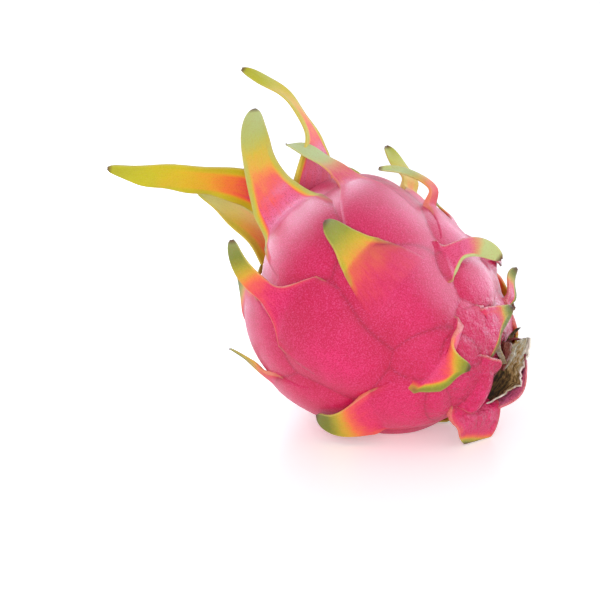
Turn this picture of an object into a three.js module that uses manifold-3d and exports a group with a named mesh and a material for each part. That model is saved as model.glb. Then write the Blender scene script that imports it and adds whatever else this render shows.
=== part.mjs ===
// Whole red dragon fruit lying on its side: one grown body covered in fleshy pads, each running out
// into a leafy scale, with the dried remnant of its cut stem in the hollow at one end.
// Units are millimetres, +Z is up, and the origin is the middle of the spot it rests on.
import * as THREE from 'three';
import { mergeVertices } from 'three/addons/utils/BufferGeometryUtils.js';
import Module from 'manifold-3d';

const wasm = await Module();
wasm.setup();

// Driving dimensions of the body
const TIP_LENGTH = 51.2;      // centre to the blossom end
const STEM_LENGTH = 49;       // centre to the stem end
const RADIUS = 44.8;          // across the growth axis, without the pads
const TAPER = 0.12;           // the blossom half is this much fatter than the stem half
const FULLNESS = 2.15;        // 2 is an ellipse, more is squarer
const STEM_DIMPLE = 3;
const PAD_BLEND = 0.3;        // width of the crease between two pads
const PAD_FULLNESS = 1.15;    // 1 is a dome, more is flatter on top with steeper sides
const PAD_BEHIND = 0.42;      // a pad's middle behind its scale's root, as a part of adnate
const PAD_LENGTH = 0.85;      // half of a pad's length, as a part of adnate
const FAR_SIDE = 0.3;         // cosine of the angle beyond which a pad ends
const FAR_SIDE_FALL = 60;     // how steeply it falls away there
const LOWEST_PAD = -8;        // what lies lower has no part in the skin
const SKIN_LEVEL = -1.5;      // how far below the pads the bare skin lies
const TILT = 22;              // degrees the blossom end is raised off the floor
const CENTRE = new THREE.Vector3(0, 0, 44);   // leaves a flat spot where the body rests
const BODY_DETAIL = 12;
// Soft hollows of the body: where they are and how far they spread, in degrees, and how deep
const DENTS = [
  { polar: 0, azimuth: 0, spread: 10, depth: 5 },
  { polar: 180, azimuth: 0, spread: 10, depth: STEM_DIMPLE },
  { polar: 97, azimuth: -26, spread: 26, depth: 6.5 },
  { polar: 149, azimuth: -32, spread: 18, depth: 4.2 },
];

// Driving dimensions of every scale
const SUNK = 0.5;             // start of a scale's back, below the skin
const RIDGE = 1.2;            // a scale's back above the skin where it leaves the body
const ROOT_DEPTH = 4;         // a scale's root below the skin
const EDGE = 0.4;             // half the thickness of a scale's margin
const TIP_HALF_WIDTH = 0.7;
const ROOT_ROWS = 4;
const COLUMNS = 4;
const FREE_STEP = 8;          // one row for each this much length, and three at least
// The next five are parts of a free blade's length
const ROOT_BLEND = 0.25;      // where the blade has left the skin altogether
const HEEL = 0.3;             // where the thick root ends
const CLEAR_FROM = 0.4;       // where the blade has its full clearance
const TAPER_FROM = 0.55;      // where the blade begins to narrow towards its tip
const TAPER_POWER = 2.2;      // 1 is a straight taper, more is rounder
const PROBE = 0.01;           // step for the slope of the skin, in radians
const SLACK = 0.2;            // how far a root follows its own pad below the others, for each mm
const CLEARANCE = 1.6;        // least height of a free blade over the skin
const FLOOR_CLEARANCE = 0.7;  // least height of a blade's middle over the floor

// Driving dimensions of the dried stem
const GAP = 0.3;              // between the stem and the flesh it is sunk in
const WING_STEP = 3;          // length of a wing's cells

// Directions: the growth axis points at the blossom end, azimuth 0 is the top, 90 is the front
const radians = THREE.MathUtils.degToRad;
const AXIS = new THREE.Vector3(-Math.cos(radians(TILT)), 0, Math.sin(radians(TILT)));
const TOP = new THREE.Vector3(Math.sin(radians(TILT)), 0, Math.cos(radians(TILT)));
const FRONT = new THREE.Vector3(0, -1, 0);

// polar: degrees from the blossom end; heading: 0 grows to the blossom end, 180 to the stem end;
// lift and swing: the blade's angle off the skin and to the side at its root, middle and tip;
// root, strap: half-widths where it leaves the body and along the blade; flare: where the root's
// widening ends; adnate, base: length and half-width of the part grown into the body; pad: height
// of the pad under it; corners, aside, turn: how square the pad is, how far it lies to the side of
// the scale and how far it is turned against it
const ROUND = { corners: 2, aside: 0, turn: 0 };
const SCALE_DEFAULTS = { twist: 0, flare: 0.5, adnate: 26, base: 24, pad: 4.2, ...ROUND };
const SHORT = { adnate: 13, base: 15, pad: 2.4, flare: 1 };
const SCALES = [
  // crown round the blossom end
  { polar: 23, azimuth: -76, heading: 23, length: 92, root: 14.2, strap: 6.5,
    lift: [57, 22, 50], swing: [18, -10, -26], twist: -5, flare: 0.63, adnate: 24, base: 22 },
  { polar: 24, azimuth: -138, heading: 6, length: 55, root: 15.2, strap: 7.3,
    lift: [12, 48, 48], swing: [10, -7, -18], twist: 55, flare: 0.63, base: 22 },
  { polar: 39, azimuth: 45, heading: -24, length: 60, root: 15.6, strap: 6.1,
    lift: [22, 36, 24], swing: [5, -20, -44], twist: 38, flare: 0.68, adnate: 30 },
  { polar: 29, azimuth: -11, heading: -14, length: 64, root: 21.8, strap: 3.2,
    lift: [151, 95, 61], swing: [-24, 44, 11], twist: -66, adnate: 24, base: 22 },
  { polar: 40, azimuth: 118, heading: -5, length: 22, root: 14, strap: 5,
    lift: [5, 12, 20], swing: [0, 12, -10], twist: 10 },
  { polar: 28, azimuth: 172, heading: 8, length: 18, root: 14, strap: 5,
    lift: [5, 14, 20], swing: [0, 10, 10], twist: -10 },
  // shoulder
  { polar: 57, azimuth: 12, heading: -33, length: 38, root: 5.9, strap: 3.8,
    lift: [4, 29, -2], swing: [1, 26, 30], flare: 0.39, adnate: 34 },
  { polar: 69, azimuth: 86, heading: -5, length: 36, root: 16.9, strap: 3.7,
    lift: [15, 30, 10], swing: [5, -21, -58], twist: 17, flare: 0.36, adnate: 28, base: 25,
    corners: 3.5, turn: 12 },
  { polar: 70, azimuth: -21, heading: -34, length: 28, root: 2.9, strap: 3.7,
    lift: [36, 19, 22], swing: [-10, 11, 34], twist: -34, pad: 1.2 },
  { polar: 62, azimuth: -62, heading: 6, length: 34, root: 12, strap: 4,
    lift: [12, 35, 30], swing: [0, -12, 10], twist: 12 },
  { polar: 64, azimuth: -112, heading: -4, length: 30, root: 12, strap: 4,
    lift: [8, 26, 38], swing: [0, 10, -12] },
  { polar: 60, azimuth: -160, heading: 6, length: 26, root: 12, strap: 5,
    lift: [4, 12, 24], swing: [0, 8, 0] },
  { polar: 68, azimuth: 142, heading: 4, length: 26, root: 13, strap: 5,
    lift: [4, 14, 22], swing: [0, -8, 0] },
  // middle
  { polar: 84, azimuth: 49, heading: -6, length: 19, root: 9.3, strap: 4.4,
    lift: [2, 18, 43], swing: [2, -6, 10], twist: 19, flare: 0.76, adnate: 28, base: 22.5,
    corners: 4.5, aside: 2.5, turn: 50 },
  { polar: 90, azimuth: -4, heading: -3, length: 32, root: 4.4, strap: 1.7,
    lift: [81, -1, -23], swing: [-3, 5, 8], twist: -59, flare: 0.42, adnate: 20, base: 20 },
  { polar: 91, azimuth: -50, heading: -6, length: 15, root: 10, strap: 4,
    lift: [2, 3, -6], swing: [0, 10, 0], pad: 1.2 },
  { polar: 95, azimuth: -88, heading: 5, length: 20, root: 10, strap: 4,
    lift: [4, 20, 36], swing: [0, -8, 0] },
  { polar: 90, azimuth: -136, heading: -4, length: 20, root: 11, strap: 5,
    lift: [2, 10, 30], swing: [0, 6, 0] },
  { polar: 94, azimuth: 178, heading: 0, length: 14, root: 11, strap: 6,
    lift: [1, 4, 8], swing: [0, 0, 0] },
  { polar: 121, azimuth: 124, heading: 21, length: 28, root: 13, strap: 4.4,
    lift: [17, 8, -39], swing: [4, 5, -19], twist: 28, flare: 0.85, adnate: 24, base: 20, pad: 2.6 },
  // bent back, towards the stem end
  { polar: 114, azimuth: 23, heading: 244, length: 26, root: 8.3, strap: 3.2, ...SHORT,
    lift: [64, 10, 1], swing: [24, -9, -54], twist: 60, flare: 0.3, adnate: 8, base: 9, pad: 1.4 },
  { polar: 139, azimuth: 73, heading: 176, length: 12, root: 17.2, strap: 2.6, ...SHORT,
    lift: [16, 36, 2], swing: [-3, 32, 13], twist: 21, base: 17 },
  { polar: 120, azimuth: -36, heading: 190, length: 8, root: 12, strap: 4, ...SHORT,
    lift: [1, 2, 0], swing: [0, 8, 0], adnate: 17, pad: 4.4 },
  { polar: 120, azimuth: -72, heading: 175, length: 13, root: 13, strap: 4, ...SHORT,
    lift: [6, 14, -10], swing: [0, -10, 0] },
  { polar: 121, azimuth: -112, heading: 184, length: 16, root: 13, strap: 4, ...SHORT,
    lift: [6, 16, -14], swing: [0, 8, 0] },
  { polar: 122, azimuth: -160, heading: 176, length: 15, root: 13, strap: 5, ...SHORT,
    lift: [2, 6, 2], swing: [0, -5, 0] },
  // collar round the stem hollow
  { polar: 152, azimuth: 33, heading: 245, length: 19, root: 11.2, strap: 2.9, ...SHORT,
    lift: [17, -2, 14], swing: [38, 8, 26], twist: -4, base: 13 },
  { polar: 161, azimuth: 88, heading: 180, length: 9, root: 12, strap: 11.3, ...SHORT,
    lift: [7, -5, 6], swing: [3, 1, -10], twist: 18 },
  { polar: 164, azimuth: 149, heading: 37, length: 17, root: 13.1, strap: 9.3, ...SHORT,
    lift: [86, 34, 46], swing: [19, -3, -21], twist: 23 },
  { polar: 156, azimuth: -125, heading: 166, length: 28, root: 15, strap: 11.3, ...SHORT,
    lift: [21, 8, -33], swing: [2, -20, -8], twist: 28 },
  { polar: 148, azimuth: -78, heading: 186, length: 10, root: 11, strap: 5, ...SHORT,
    lift: [2, 8, 0], swing: [0, 8, 0] },
  { polar: 144, azimuth: -46, heading: 13, length: 17, root: 2.9, strap: 2.9, ...SHORT,
    lift: [59, 11, 74], swing: [-1, -18, -9], twist: -23 },
].map((scale) => ({ ...SCALE_DEFAULTS, ...scale }));

// Folds of the skin that carry no scale
const FOLDS = [
  { polar: 131, azimuth: 9, heading: 0, halfLength: 14, halfWidth: 12, height: 2.6 },
  { polar: 146, azimuth: 62, heading: 20, halfLength: 12, halfWidth: 9, height: 3.2 },
  { polar: 146, azimuth: 112, heading: 100, halfLength: 13, halfWidth: 7, height: 3.6 },
  { polar: 165, azimuth: 108, heading: 72, halfLength: 14, halfWidth: 3.8, height: 4.4 },
];

// Wings of the dried stem: each runs between two curves, its foot in the hollow and its torn rim.
// A point is its distance towards the top, to the front and out of the hollow's floor
const STEM_WINGS = [
  { foot: [[-16, 2, -2], [-12, 0.3, 0.6], [-7, -2.5, 1], [-1, -4, 0.8], [4, -4.5, 0.3], [9, -5, 1.2],
      [15.2, -5, 4.8]],
    rim: [[-16.3, 2.6, 0.8], [-9.1, 0, 6.6], [-3.7, -3, 9.5], [0.6, -4, 12.2], [5, -5, 9.8],
      [11, -5, 10.2], [18.2, -6, 7.8]], trough: 1.6, half: 0.4 },
  { foot: [[0, -5, 0], [4, -5, 0], [8, -5, -1], [11.5, -5, -2]],
    rim: [[1.3, -5, 3.6], [5, -5, 3.6], [8.5, -5, 3.2], [12.7, -5, 2.3]], trough: -0.8, half: 0.4 },
  strip([[13.6, 2.9, -0.5], [10.9, 2.3, 0.7], [7.8, -0.4, 2.1], [3.3, -5, 3]], 1.2, 0.4),
  strip([[13.3, -5.5, 4], [10.4, -5.5, 3.7], [8, -5.5, 4.1], [4.7, -5.5, 4], [1.3, -5, 3.2]], 1.2, 0.4),
  strip([[7.5, -5, -0.5], [11.3, -7, 0.1], [14.4, -7.5, 0.2], [18, -8, 1.2]], 1.3, 0.5),
  strip([[7.5, -5, -0.5], [11.4, -6, 0.1], [13.7, -6.5, 1.5], [14.6, -7, 3.8]], 1, 0.4),
];

// A narrow wing of even width round a middle line
function strip(middle, width, half) {
  const beside = (offset) => middle.map(([up, front, out]) => [up + offset, front, out + offset]);
  return { foot: beside(-width / 2), rim: beside(width / 2), trough: 0, half };
}

function directionAt(polar, azimuth) {
  const around = radians(azimuth);
  return AXIS.clone().multiplyScalar(Math.cos(radians(polar)))
    .addScaledVector(TOP, Math.sin(radians(polar)) * Math.cos(around))
    .addScaledVector(FRONT, Math.sin(radians(polar)) * Math.sin(around));
}

// Directions out of the body, along a heading and across it, at a place on the skin
function localAxes({ polar, azimuth, heading }) {
  const out = directionAt(polar, azimuth);
  const toTip = AXIS.clone().addScaledVector(out, -AXIS.dot(out)).normalize();
  const around = radians(azimuth);
  const sideways = TOP.clone().multiplyScalar(-Math.sin(around)).addScaledVector(FRONT, Math.cos(around));
  const turn = radians(heading);
  const along = toTip.multiplyScalar(Math.cos(turn)).addScaledVector(sideways, Math.sin(turn));
  return { out, along, across: new THREE.Vector3().crossVectors(out, along) };
}

// Gives a scale its directions and its pad, which lies behind the line where it leaves the body
function addFrame(scale) {
  Object.assign(scale, localAxes(scale));
  const behind = PAD_BEHIND * scale.adnate / RADIUS;
  const turn = radians(scale.turn);
  scale.ownPad = {
    middle: scale.out.clone().addScaledVector(scale.along, -behind)
      .addScaledVector(scale.across, scale.aside / RADIUS).normalize(),
    along: scale.along.clone().applyAxisAngle(scale.out, turn),
    across: scale.across.clone().applyAxisAngle(scale.out, turn),
    halfLength: PAD_LENGTH * scale.adnate,
    halfWidth: scale.base,
    height: scale.pad,
    corners: scale.corners,
  };
}

function foldPad(fold) {
  const { out, along, across } = localAxes(fold);
  return { ...ROUND, ...fold, middle: out, along, across };
}

// Distance from the centre to the bare body along a direction
function bodyRadius(direction) {
  const cosine = THREE.MathUtils.clamp(direction.dot(AXIS), -1, 1);
  const halfLength = cosine > 0 ? TIP_LENGTH : STEM_LENGTH;
  const halfWidth = RADIUS * (1 + TAPER * cosine);
  const sine = Math.sqrt(1 - cosine ** 2);
  const sum = (Math.abs(cosine) / halfLength) ** FULLNESS + (sine / halfWidth) ** FULLNESS;
  const sunk = DENTS.reduce((depth, dent) => {
    const angle = direction.angleTo(dent.middle) / radians(dent.spread);
    return depth + dent.depth * Math.exp(-(angle ** 2));
  }, 0);
  return sum ** (-1 / FULLNESS) - sunk;
}

// Height of a pad: a low cushion, below zero beyond its rim
function padHeight(direction, pad) {
  const x = (direction.dot(pad.along) - pad.middle.dot(pad.along)) * RADIUS;
  const y = (direction.dot(pad.across) - pad.middle.dot(pad.across)) * RADIUS;
  const behind = FAR_SIDE_FALL * Math.max(FAR_SIDE - direction.dot(pad.middle), 0);
  const away = Math.abs(x / pad.halfLength) ** pad.corners + Math.abs(y / pad.halfWidth) ** pad.corners;
  return pad.height * (1 - away ** (2 * PAD_FULLNESS / pad.corners)) - behind;
}

// The highest pad wins, with a soft crease where two meet. A scale's root follows the scale's own pad
// where others rise above it, by up to the slack
function skinPoint(direction, own = null, slack = 0) {
  let sum = Math.exp(SKIN_LEVEL / PAD_BLEND);
  for (const pad of pads) {
    sum += Math.exp(Math.max(padHeight(direction, pad), LOWEST_PAD) / PAD_BLEND);
  }
  let height = PAD_BLEND * Math.log(sum);
  if (own) height = Math.max(padHeight(direction, own), height - slack);
  return direction.clone().multiplyScalar(bodyRadius(direction) + height);
}

function toManifold(geometry) {
  const plain = geometry.clone();
  plain.deleteAttribute('normal');
  plain.deleteAttribute('uv');
  const merged = mergeVertices(plain, 1e-5);
  return new wasm.Manifold(new wasm.Mesh({
    numProp: 3,
    vertProperties: new Float32Array(merged.attributes.position.array),
    triVerts: new Uint32Array(merged.index.array),
  }));
}

function toGeometry(manifold) {
  const mesh = manifold.getMesh();
  const geometry = new THREE.BufferGeometry();
  geometry.setAttribute('position', new THREE.BufferAttribute(mesh.vertProperties, 3));
  geometry.setIndex(new THREE.BufferAttribute(mesh.triVerts, 1));
  geometry.computeVertexNormals();
  return geometry;
}

// A closed sheet round a grid of middle points; front(i, j) and back(i, j) are its two thicknesses
function sheetSolid(grid, front, back) {
  const rows = grid.length;
  const columns = grid[0].length;
  const along = new THREE.Vector3();
  const across = new THREE.Vector3();
  const faces = [[], []];
  for (let i = 0; i < rows; i += 1) {
    for (let j = 0; j < columns; j += 1) {
      along.subVectors(grid[Math.min(i + 1, rows - 1)][j], grid[Math.max(i - 1, 0)][j]);
      across.subVectors(grid[i][Math.min(j + 1, columns - 1)], grid[i][Math.max(j - 1, 0)]);
      const normal = new THREE.Vector3().crossVectors(along, across).normalize();
      faces[0].push(grid[i][j].clone().addScaledVector(normal, front(i, j)));
      faces[1].push(grid[i][j].clone().addScaledVector(normal, -back(i, j)));
    }
  }
  const count = rows * columns;
  const index = [];
  const quad = (a, b, c, d) => index.push(a, b, c, a, c, d);
  for (let i = 0; i + 1 < rows; i += 1) {
    for (let j = 0; j + 1 < columns; j += 1) {
      const corner = i * columns + j;
      quad(corner, corner + columns, corner + columns + 1, corner + 1);
      index.push(count + corner, count + corner + columns + 1, count + corner + columns);
      index.push(count + corner, count + corner + 1, count + corner + columns + 1);
    }
  }
  for (let i = 0; i + 1 < rows; i += 1) {
    const left = i * columns;
    const right = left + columns - 1;
    quad(left, count + left, count + left + columns, left + columns);
    quad(right, right + columns, count + right + columns, count + right);
  }
  for (let j = 0; j + 1 < columns; j += 1) {
    const last = (rows - 1) * columns + j;
    quad(j, j + 1, count + j + 1, count + j);
    quad(last, count + last, count + last + 1, last + 1);
  }
  const geometry = new THREE.BufferGeometry().setFromPoints([...faces[0], ...faces[1]]);
  geometry.setIndex(index);
  return toManifold(geometry);
}

// A curve through three angles, in degrees, at the start, the middle and the end
function threeAngles([start, middle, end], f) {
  return radians(start * (1 - f) * (1 - 2 * f) + 4 * middle * f * (1 - f) + end * f * (2 * f - 1));
}

function halfWidth(scale, f) {
  const flare = Math.max(1 - f / scale.flare, 0) ** 2;
  const taper = Math.max((f - TAPER_FROM) / (1 - TAPER_FROM), 0);
  const rounding = Math.sqrt(Math.max(1 - taper ** TAPER_POWER, 0));
  return Math.max((scale.strap + (scale.root - scale.strap) * flare) * rounding, TIP_HALF_WIDTH);
}

// Moves a point of a free blade out to its least height over the skin, and over the floor
function keepClear(point, f) {
  const skin = skinPoint(point.clone().normalize()).length();
  const wanted = skin + CLEARANCE * THREE.MathUtils.smoothstep(f, 0, CLEAR_FROM);
  if (point.length() < wanted) point.setLength(wanted);
  point.z = Math.max(point.z, FLOOR_CLEARANCE - CENTRE.z);
  return point;
}

// Steps the blade's middle line out from the skin, turning by lift, swing and twist as it goes
function freeGrid(scale, rows, skinAt) {
  const origin = skinPoint(scale.out);
  const probe = (way, step) => skinPoint(scale.out.clone().addScaledVector(way, step).normalize());
  const [before, after] = [probe(scale.along, -PROBE), probe(scale.along, PROBE)];
  const [left, right] = [probe(scale.across, -PROBE), probe(scale.across, PROBE)];
  const normal = new THREE.Vector3().crossVectors(after.sub(before), right.sub(left)).normalize();
  const ahead = scale.along.clone().addScaledVector(normal, -scale.along.dot(normal)).normalize();
  const side = new THREE.Vector3().crossVectors(normal, ahead);
  const substeps = 8;
  const point = origin.clone();
  const grid = [];
  for (let step = 1; step <= rows * substeps; step += 1) {
    const middle = (step - 0.5) / (rows * substeps);
    const lift = threeAngles(scale.lift, middle);
    const swing = threeAngles(scale.swing, middle);
    const level = ahead.clone().multiplyScalar(Math.cos(swing)).addScaledVector(side, Math.sin(swing));
    const tangent = level.multiplyScalar(Math.cos(lift)).addScaledVector(normal, Math.sin(lift));
    point.addScaledVector(tangent, scale.length / (rows * substeps));
    if (step % substeps) continue;
    const f = step / (rows * substeps);
    const turn = threeAngles(scale.swing, f);
    const flat = ahead.clone().multiplyScalar(-Math.sin(turn)).addScaledVector(side, Math.cos(turn));
    const bow = new THREE.Vector3().crossVectors(tangent, flat).normalize();
    const twist = radians(scale.twist) * f;
    const width = flat.clone().multiplyScalar(Math.cos(twist)).addScaledVector(bow, Math.sin(twist));
    const back = bow.clone().multiplyScalar(Math.cos(twist)).addScaledVector(flat, -Math.sin(twist));
    const blend = THREE.MathUtils.smoothstep(f, 0, ROOT_BLEND);
    const row = [];
    for (let j = 0; j <= COLUMNS; j += 1) {
      const offset = (2 * j / COLUMNS - 1) * halfWidth(scale, f);
      const drop = -0.5 * (offset ** 2) * ((1 - f) ** 2) / RADIUS;
      const free = point.clone().addScaledVector(width, offset).addScaledVector(back, drop);
      row.push(keepClear(free.lerp(skinAt(f * scale.length, offset), 1 - blend), f));
    }
    grid.push(row);
  }
  return grid;
}

// One scale: a root grown into the body, then the free blade
function scaleSolid(scale) {
  const reach = skinPoint(scale.out).length();
  const skinAt = (x, y) => {
    const toward = scale.out.clone().addScaledVector(scale.along, x / reach)
      .addScaledVector(scale.across, y / reach).normalize();
    return skinPoint(toward, scale.ownPad, SLACK * Math.max(-x, 0));
  };
  const grid = [];
  for (let i = 0; i <= ROOT_ROWS; i += 1) {
    const behind = 1 - i / ROOT_ROWS;
    const width = scale.root + (scale.base - scale.root) * behind;
    const row = [];
    for (let j = 0; j <= COLUMNS; j += 1) {
      row.push(skinAt(-scale.adnate * behind, (2 * j / COLUMNS - 1) * width));
    }
    grid.push(row);
  }
  const freeRows = Math.max(3, Math.round(scale.length / FREE_STEP));
  grid.push(...freeGrid(scale, freeRows, skinAt));
  const freeness = (i) => Math.max(i - ROOT_ROWS, 0) / freeRows;
  const front = (i) => {
    if (i <= ROOT_ROWS) return THREE.MathUtils.lerp(-SUNK, RIDGE, i / ROOT_ROWS);
    return EDGE + (RIDGE - EDGE) * (1 - freeness(i)) ** 2;
  };
  const back = (i, j) => {
    const f = freeness(i);
    const bulge = (1 - f) * (1 - (2 * j / COLUMNS - 1) ** 2);
    const heel = (ROOT_DEPTH - 1) * Math.max(1 - f / HEEL, 0) ** 2;
    return EDGE + bulge + heel;
  };
  return sheetSolid(grid, front, back);
}

function bodySolid() {
  const geometry = new THREE.IcosahedronGeometry(1, BODY_DETAIL);
  const position = geometry.attributes.position;
  const direction = new THREE.Vector3();
  for (let i = 0; i < position.count; i += 1) {
    direction.fromBufferAttribute(position, i).normalize();
    position.setXYZ(i, ...skinPoint(direction));
  }
  return toManifold(geometry);
}

// Moves the outermost points of one grid row or column outwards by the given distance
function growEnds(line, distance) {
  const last = line.length - 1;
  const outwards = (end, inner) => line[end].clone().sub(line[inner]).setLength(distance);
  const [first, final] = [outwards(0, 1), outwards(last, last - 1)];
  line[0].add(first);
  line[last].add(final);
}

// One wing, made larger all round by the given distance
function wingSolid({ foot, rim, trough, half }, distance) {
  const floor = AXIS.clone().multiplyScalar(STEM_DIMPLE - STEM_LENGTH);
  const place = ([up, front, out]) => floor.clone().addScaledVector(TOP, up)
    .addScaledVector(FRONT, front).addScaledVector(AXIS, -out);
  const footCurve = new THREE.CatmullRomCurve3(foot.map(place));
  const rimCurve = new THREE.CatmullRomCurve3(rim.map(place));
  const rows = Math.ceil(footCurve.getLength() / WING_STEP);
  const columns = Math.ceil(footCurve.getPoint(0.5).distanceTo(rimCurve.getPoint(0.5)) / WING_STEP);
  const grid = [];
  for (let i = 0; i <= rows; i += 1) {
    const [low, high] = [footCurve.getPoint(i / rows), rimCurve.getPoint(i / rows)];
    const row = [];
    for (let j = 0; j <= columns; j += 1) {
      const sag = trough * Math.sin(Math.PI * j / columns);
      row.push(low.clone().lerp(high, j / columns).addScaledVector(FRONT, -sag));
    }
    grid.push(row);
  }
  if (distance > 0) {
    grid.forEach((row) => growEnds(row, distance));
    grid[0].forEach((_, j) => growEnds(grid.map((row) => row[j]), distance));
  }
  return sheetSolid(grid, () => half + distance, () => half + distance);
}

function stemSolid(distance) {
  return STEM_WINGS.map((wing) => wingSolid(wing, distance)).reduce((whole, wing) => whole.add(wing));
}

// Everything below the floor, where the fruit's weight has pressed it flat
function floorBlock() {
  const size = 400;
  const block = new THREE.BoxGeometry(size, size, size);
  block.translate(-CENTRE.x, -CENTRE.y, -CENTRE.z - size / 2);
  return toManifold(block);
}

function addMesh(name, manifold, color, roughness) {
  const material = new THREE.MeshStandardMaterial({ color, roughness, metalness: 0 });
  const mesh = new THREE.Mesh(toGeometry(manifold), material);
  mesh.name = name;
  mesh.position.copy(CENTRE);
  group.add(mesh);
}

SCALES.forEach(addFrame);
DENTS.forEach((dent) => Object.assign(dent, { middle: directionAt(dent.polar, dent.azimuth) }));
const pads = [...SCALES.map((scale) => scale.ownPad), ...FOLDS.map(foldPad)];
let fruit = bodySolid();
for (const scale of SCALES) {
  fruit = fruit.add(scaleSolid(scale));
}
fruit = fruit.subtract(stemSolid(GAP)).subtract(floorBlock());

const group = new THREE.Group();
addMesh('fruit', fruit, 0xd8436f, 0.4);
addMesh('dry_stem', stemSolid(0), 0x81775c, 0.9);

export default group;
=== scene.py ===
"""Looks of a whole red dragon fruit lying on its side.

The skin is one closed form covered in fleshy pads. Every pad runs out into a leafy scale whose back
goes from pink through orange and yellow to a pale green tip, and the dried remnant of the cut stem
stands in the hollow at one end. Shapes are worked out in millimetres and made in metres.
"""

import logging
import math
from dataclasses import dataclass, field
from enum import Enum
from typing import Sequence

import bpy
import numpy as np
from mathutils import Matrix


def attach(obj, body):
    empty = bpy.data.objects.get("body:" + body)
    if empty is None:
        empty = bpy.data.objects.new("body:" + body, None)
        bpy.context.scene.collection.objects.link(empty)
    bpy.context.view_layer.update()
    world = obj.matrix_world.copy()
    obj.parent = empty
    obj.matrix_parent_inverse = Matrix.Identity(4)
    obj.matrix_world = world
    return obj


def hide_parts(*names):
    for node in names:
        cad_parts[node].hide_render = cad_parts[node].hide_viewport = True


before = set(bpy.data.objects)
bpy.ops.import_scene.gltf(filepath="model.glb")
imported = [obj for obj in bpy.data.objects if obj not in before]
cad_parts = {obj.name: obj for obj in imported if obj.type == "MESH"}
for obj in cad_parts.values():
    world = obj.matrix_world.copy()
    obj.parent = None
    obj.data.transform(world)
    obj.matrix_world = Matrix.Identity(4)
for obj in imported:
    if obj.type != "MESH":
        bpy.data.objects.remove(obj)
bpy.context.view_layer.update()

LOG = logging.getLogger("dragon_fruit")
MM = 0.001
PER_SQUARE_METRE = 1e4
# About a full turn in radians, for random phases.
PHASES = 6.3
UPRIGHT = (0.0, 0.0, 1.0)
WHITE = (1.0, 1.0, 1.0)
COOL = (0.8, 0.88, 1.0)
Vec = np.ndarray
Triple = tuple[float, float, float]
Thing = bpy.types.Object
Socket = bpy.types.NodeSocket
Material = bpy.types.Material
Colour = tuple[float, ...]


def unit(vectors: Vec) -> Vec:
    """Scales vectors to length one."""
    return vectors / np.maximum(np.linalg.norm(vectors, axis=-1, keepdims=True), 1e-12)


def smooth(x: Vec, low: float, high: float) -> Vec:
    """Smooth step from 0 at low to 1 at high."""
    t = np.clip((np.asarray(x, float) - low) / (high - low), 0.0, 1.0)
    return t * t * (3.0 - 2.0 * t)


def srgb(*levels: int) -> Colour:
    """Turns the three levels of an 8-bit display colour into linear light with alpha one."""
    parts = [level / 255.0 for level in levels]
    return (*(p / 12.92 if p <= 0.04045 else ((p + 0.055) / 1.055) ** 2.4 for p in parts), 1.0)


def colour_run(*stops: Sequence[float]) -> tuple[tuple[float, Colour], ...]:
    """Stops of a run of colours, each given as its place from 0 to 1 and its three display levels."""
    return tuple((place, srgb(*levels)) for place, *levels in stops)


@dataclass(frozen=True)
class GrowthFrame:
    """Where the fruit lies: its centre and the direction it grew in.

    Polar angles are degrees from the blossom end, azimuth 0 is the top and 90 the front.
    """

    tilt: float = 22.0
    centre: Triple = (0.0, 0.0, 44.0)

    @property
    def axis(self) -> Vec:
        """Growth direction, towards the blossom end."""
        tilt = math.radians(self.tilt)
        return np.array([-math.cos(tilt), 0.0, math.sin(tilt)])

    @property
    def top(self) -> Vec:
        """Across the growth direction, upwards."""
        tilt = math.radians(self.tilt)
        return np.array([math.sin(tilt), 0.0, math.cos(tilt)])

    @property
    def front(self) -> Vec:
        """Across the growth direction, towards the front."""
        return np.array([0.0, -1.0, 0.0])

    def direction(self, polar: float | Vec, azimuth: float | Vec) -> Vec:
        """Unit vector from the centre for each pair of a polar angle and an azimuth in degrees."""
        p, a = np.radians(polar)[..., None], np.radians(azimuth)[..., None]
        return np.cos(p) * self.axis + np.sin(p) * (np.cos(a) * self.top + np.sin(a) * self.front)

    def local_axes(self, polar: float, azimuth: float, heading: float) -> tuple[Vec, Vec, Vec]:
        """Unit vectors out of the body, along a heading and across it.

        Args:
            polar: Degrees from the blossom end.
            azimuth: Degrees round the growth axis from the top.
            heading: Degrees from the way to the blossom end.

        Returns:
            The three vectors.
        """
        out = self.direction(polar, azimuth)
        to_tip = unit(self.axis - (self.axis @ out) * out)
        around, turn = math.radians(azimuth), math.radians(heading)
        sideways = -math.sin(around) * self.top + math.cos(around) * self.front
        along = math.cos(turn) * to_tip + math.sin(turn) * sideways
        return out, along, np.cross(out, along)


GROWTH = GrowthFrame()
BODY_RADIUS = 44.8


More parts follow.
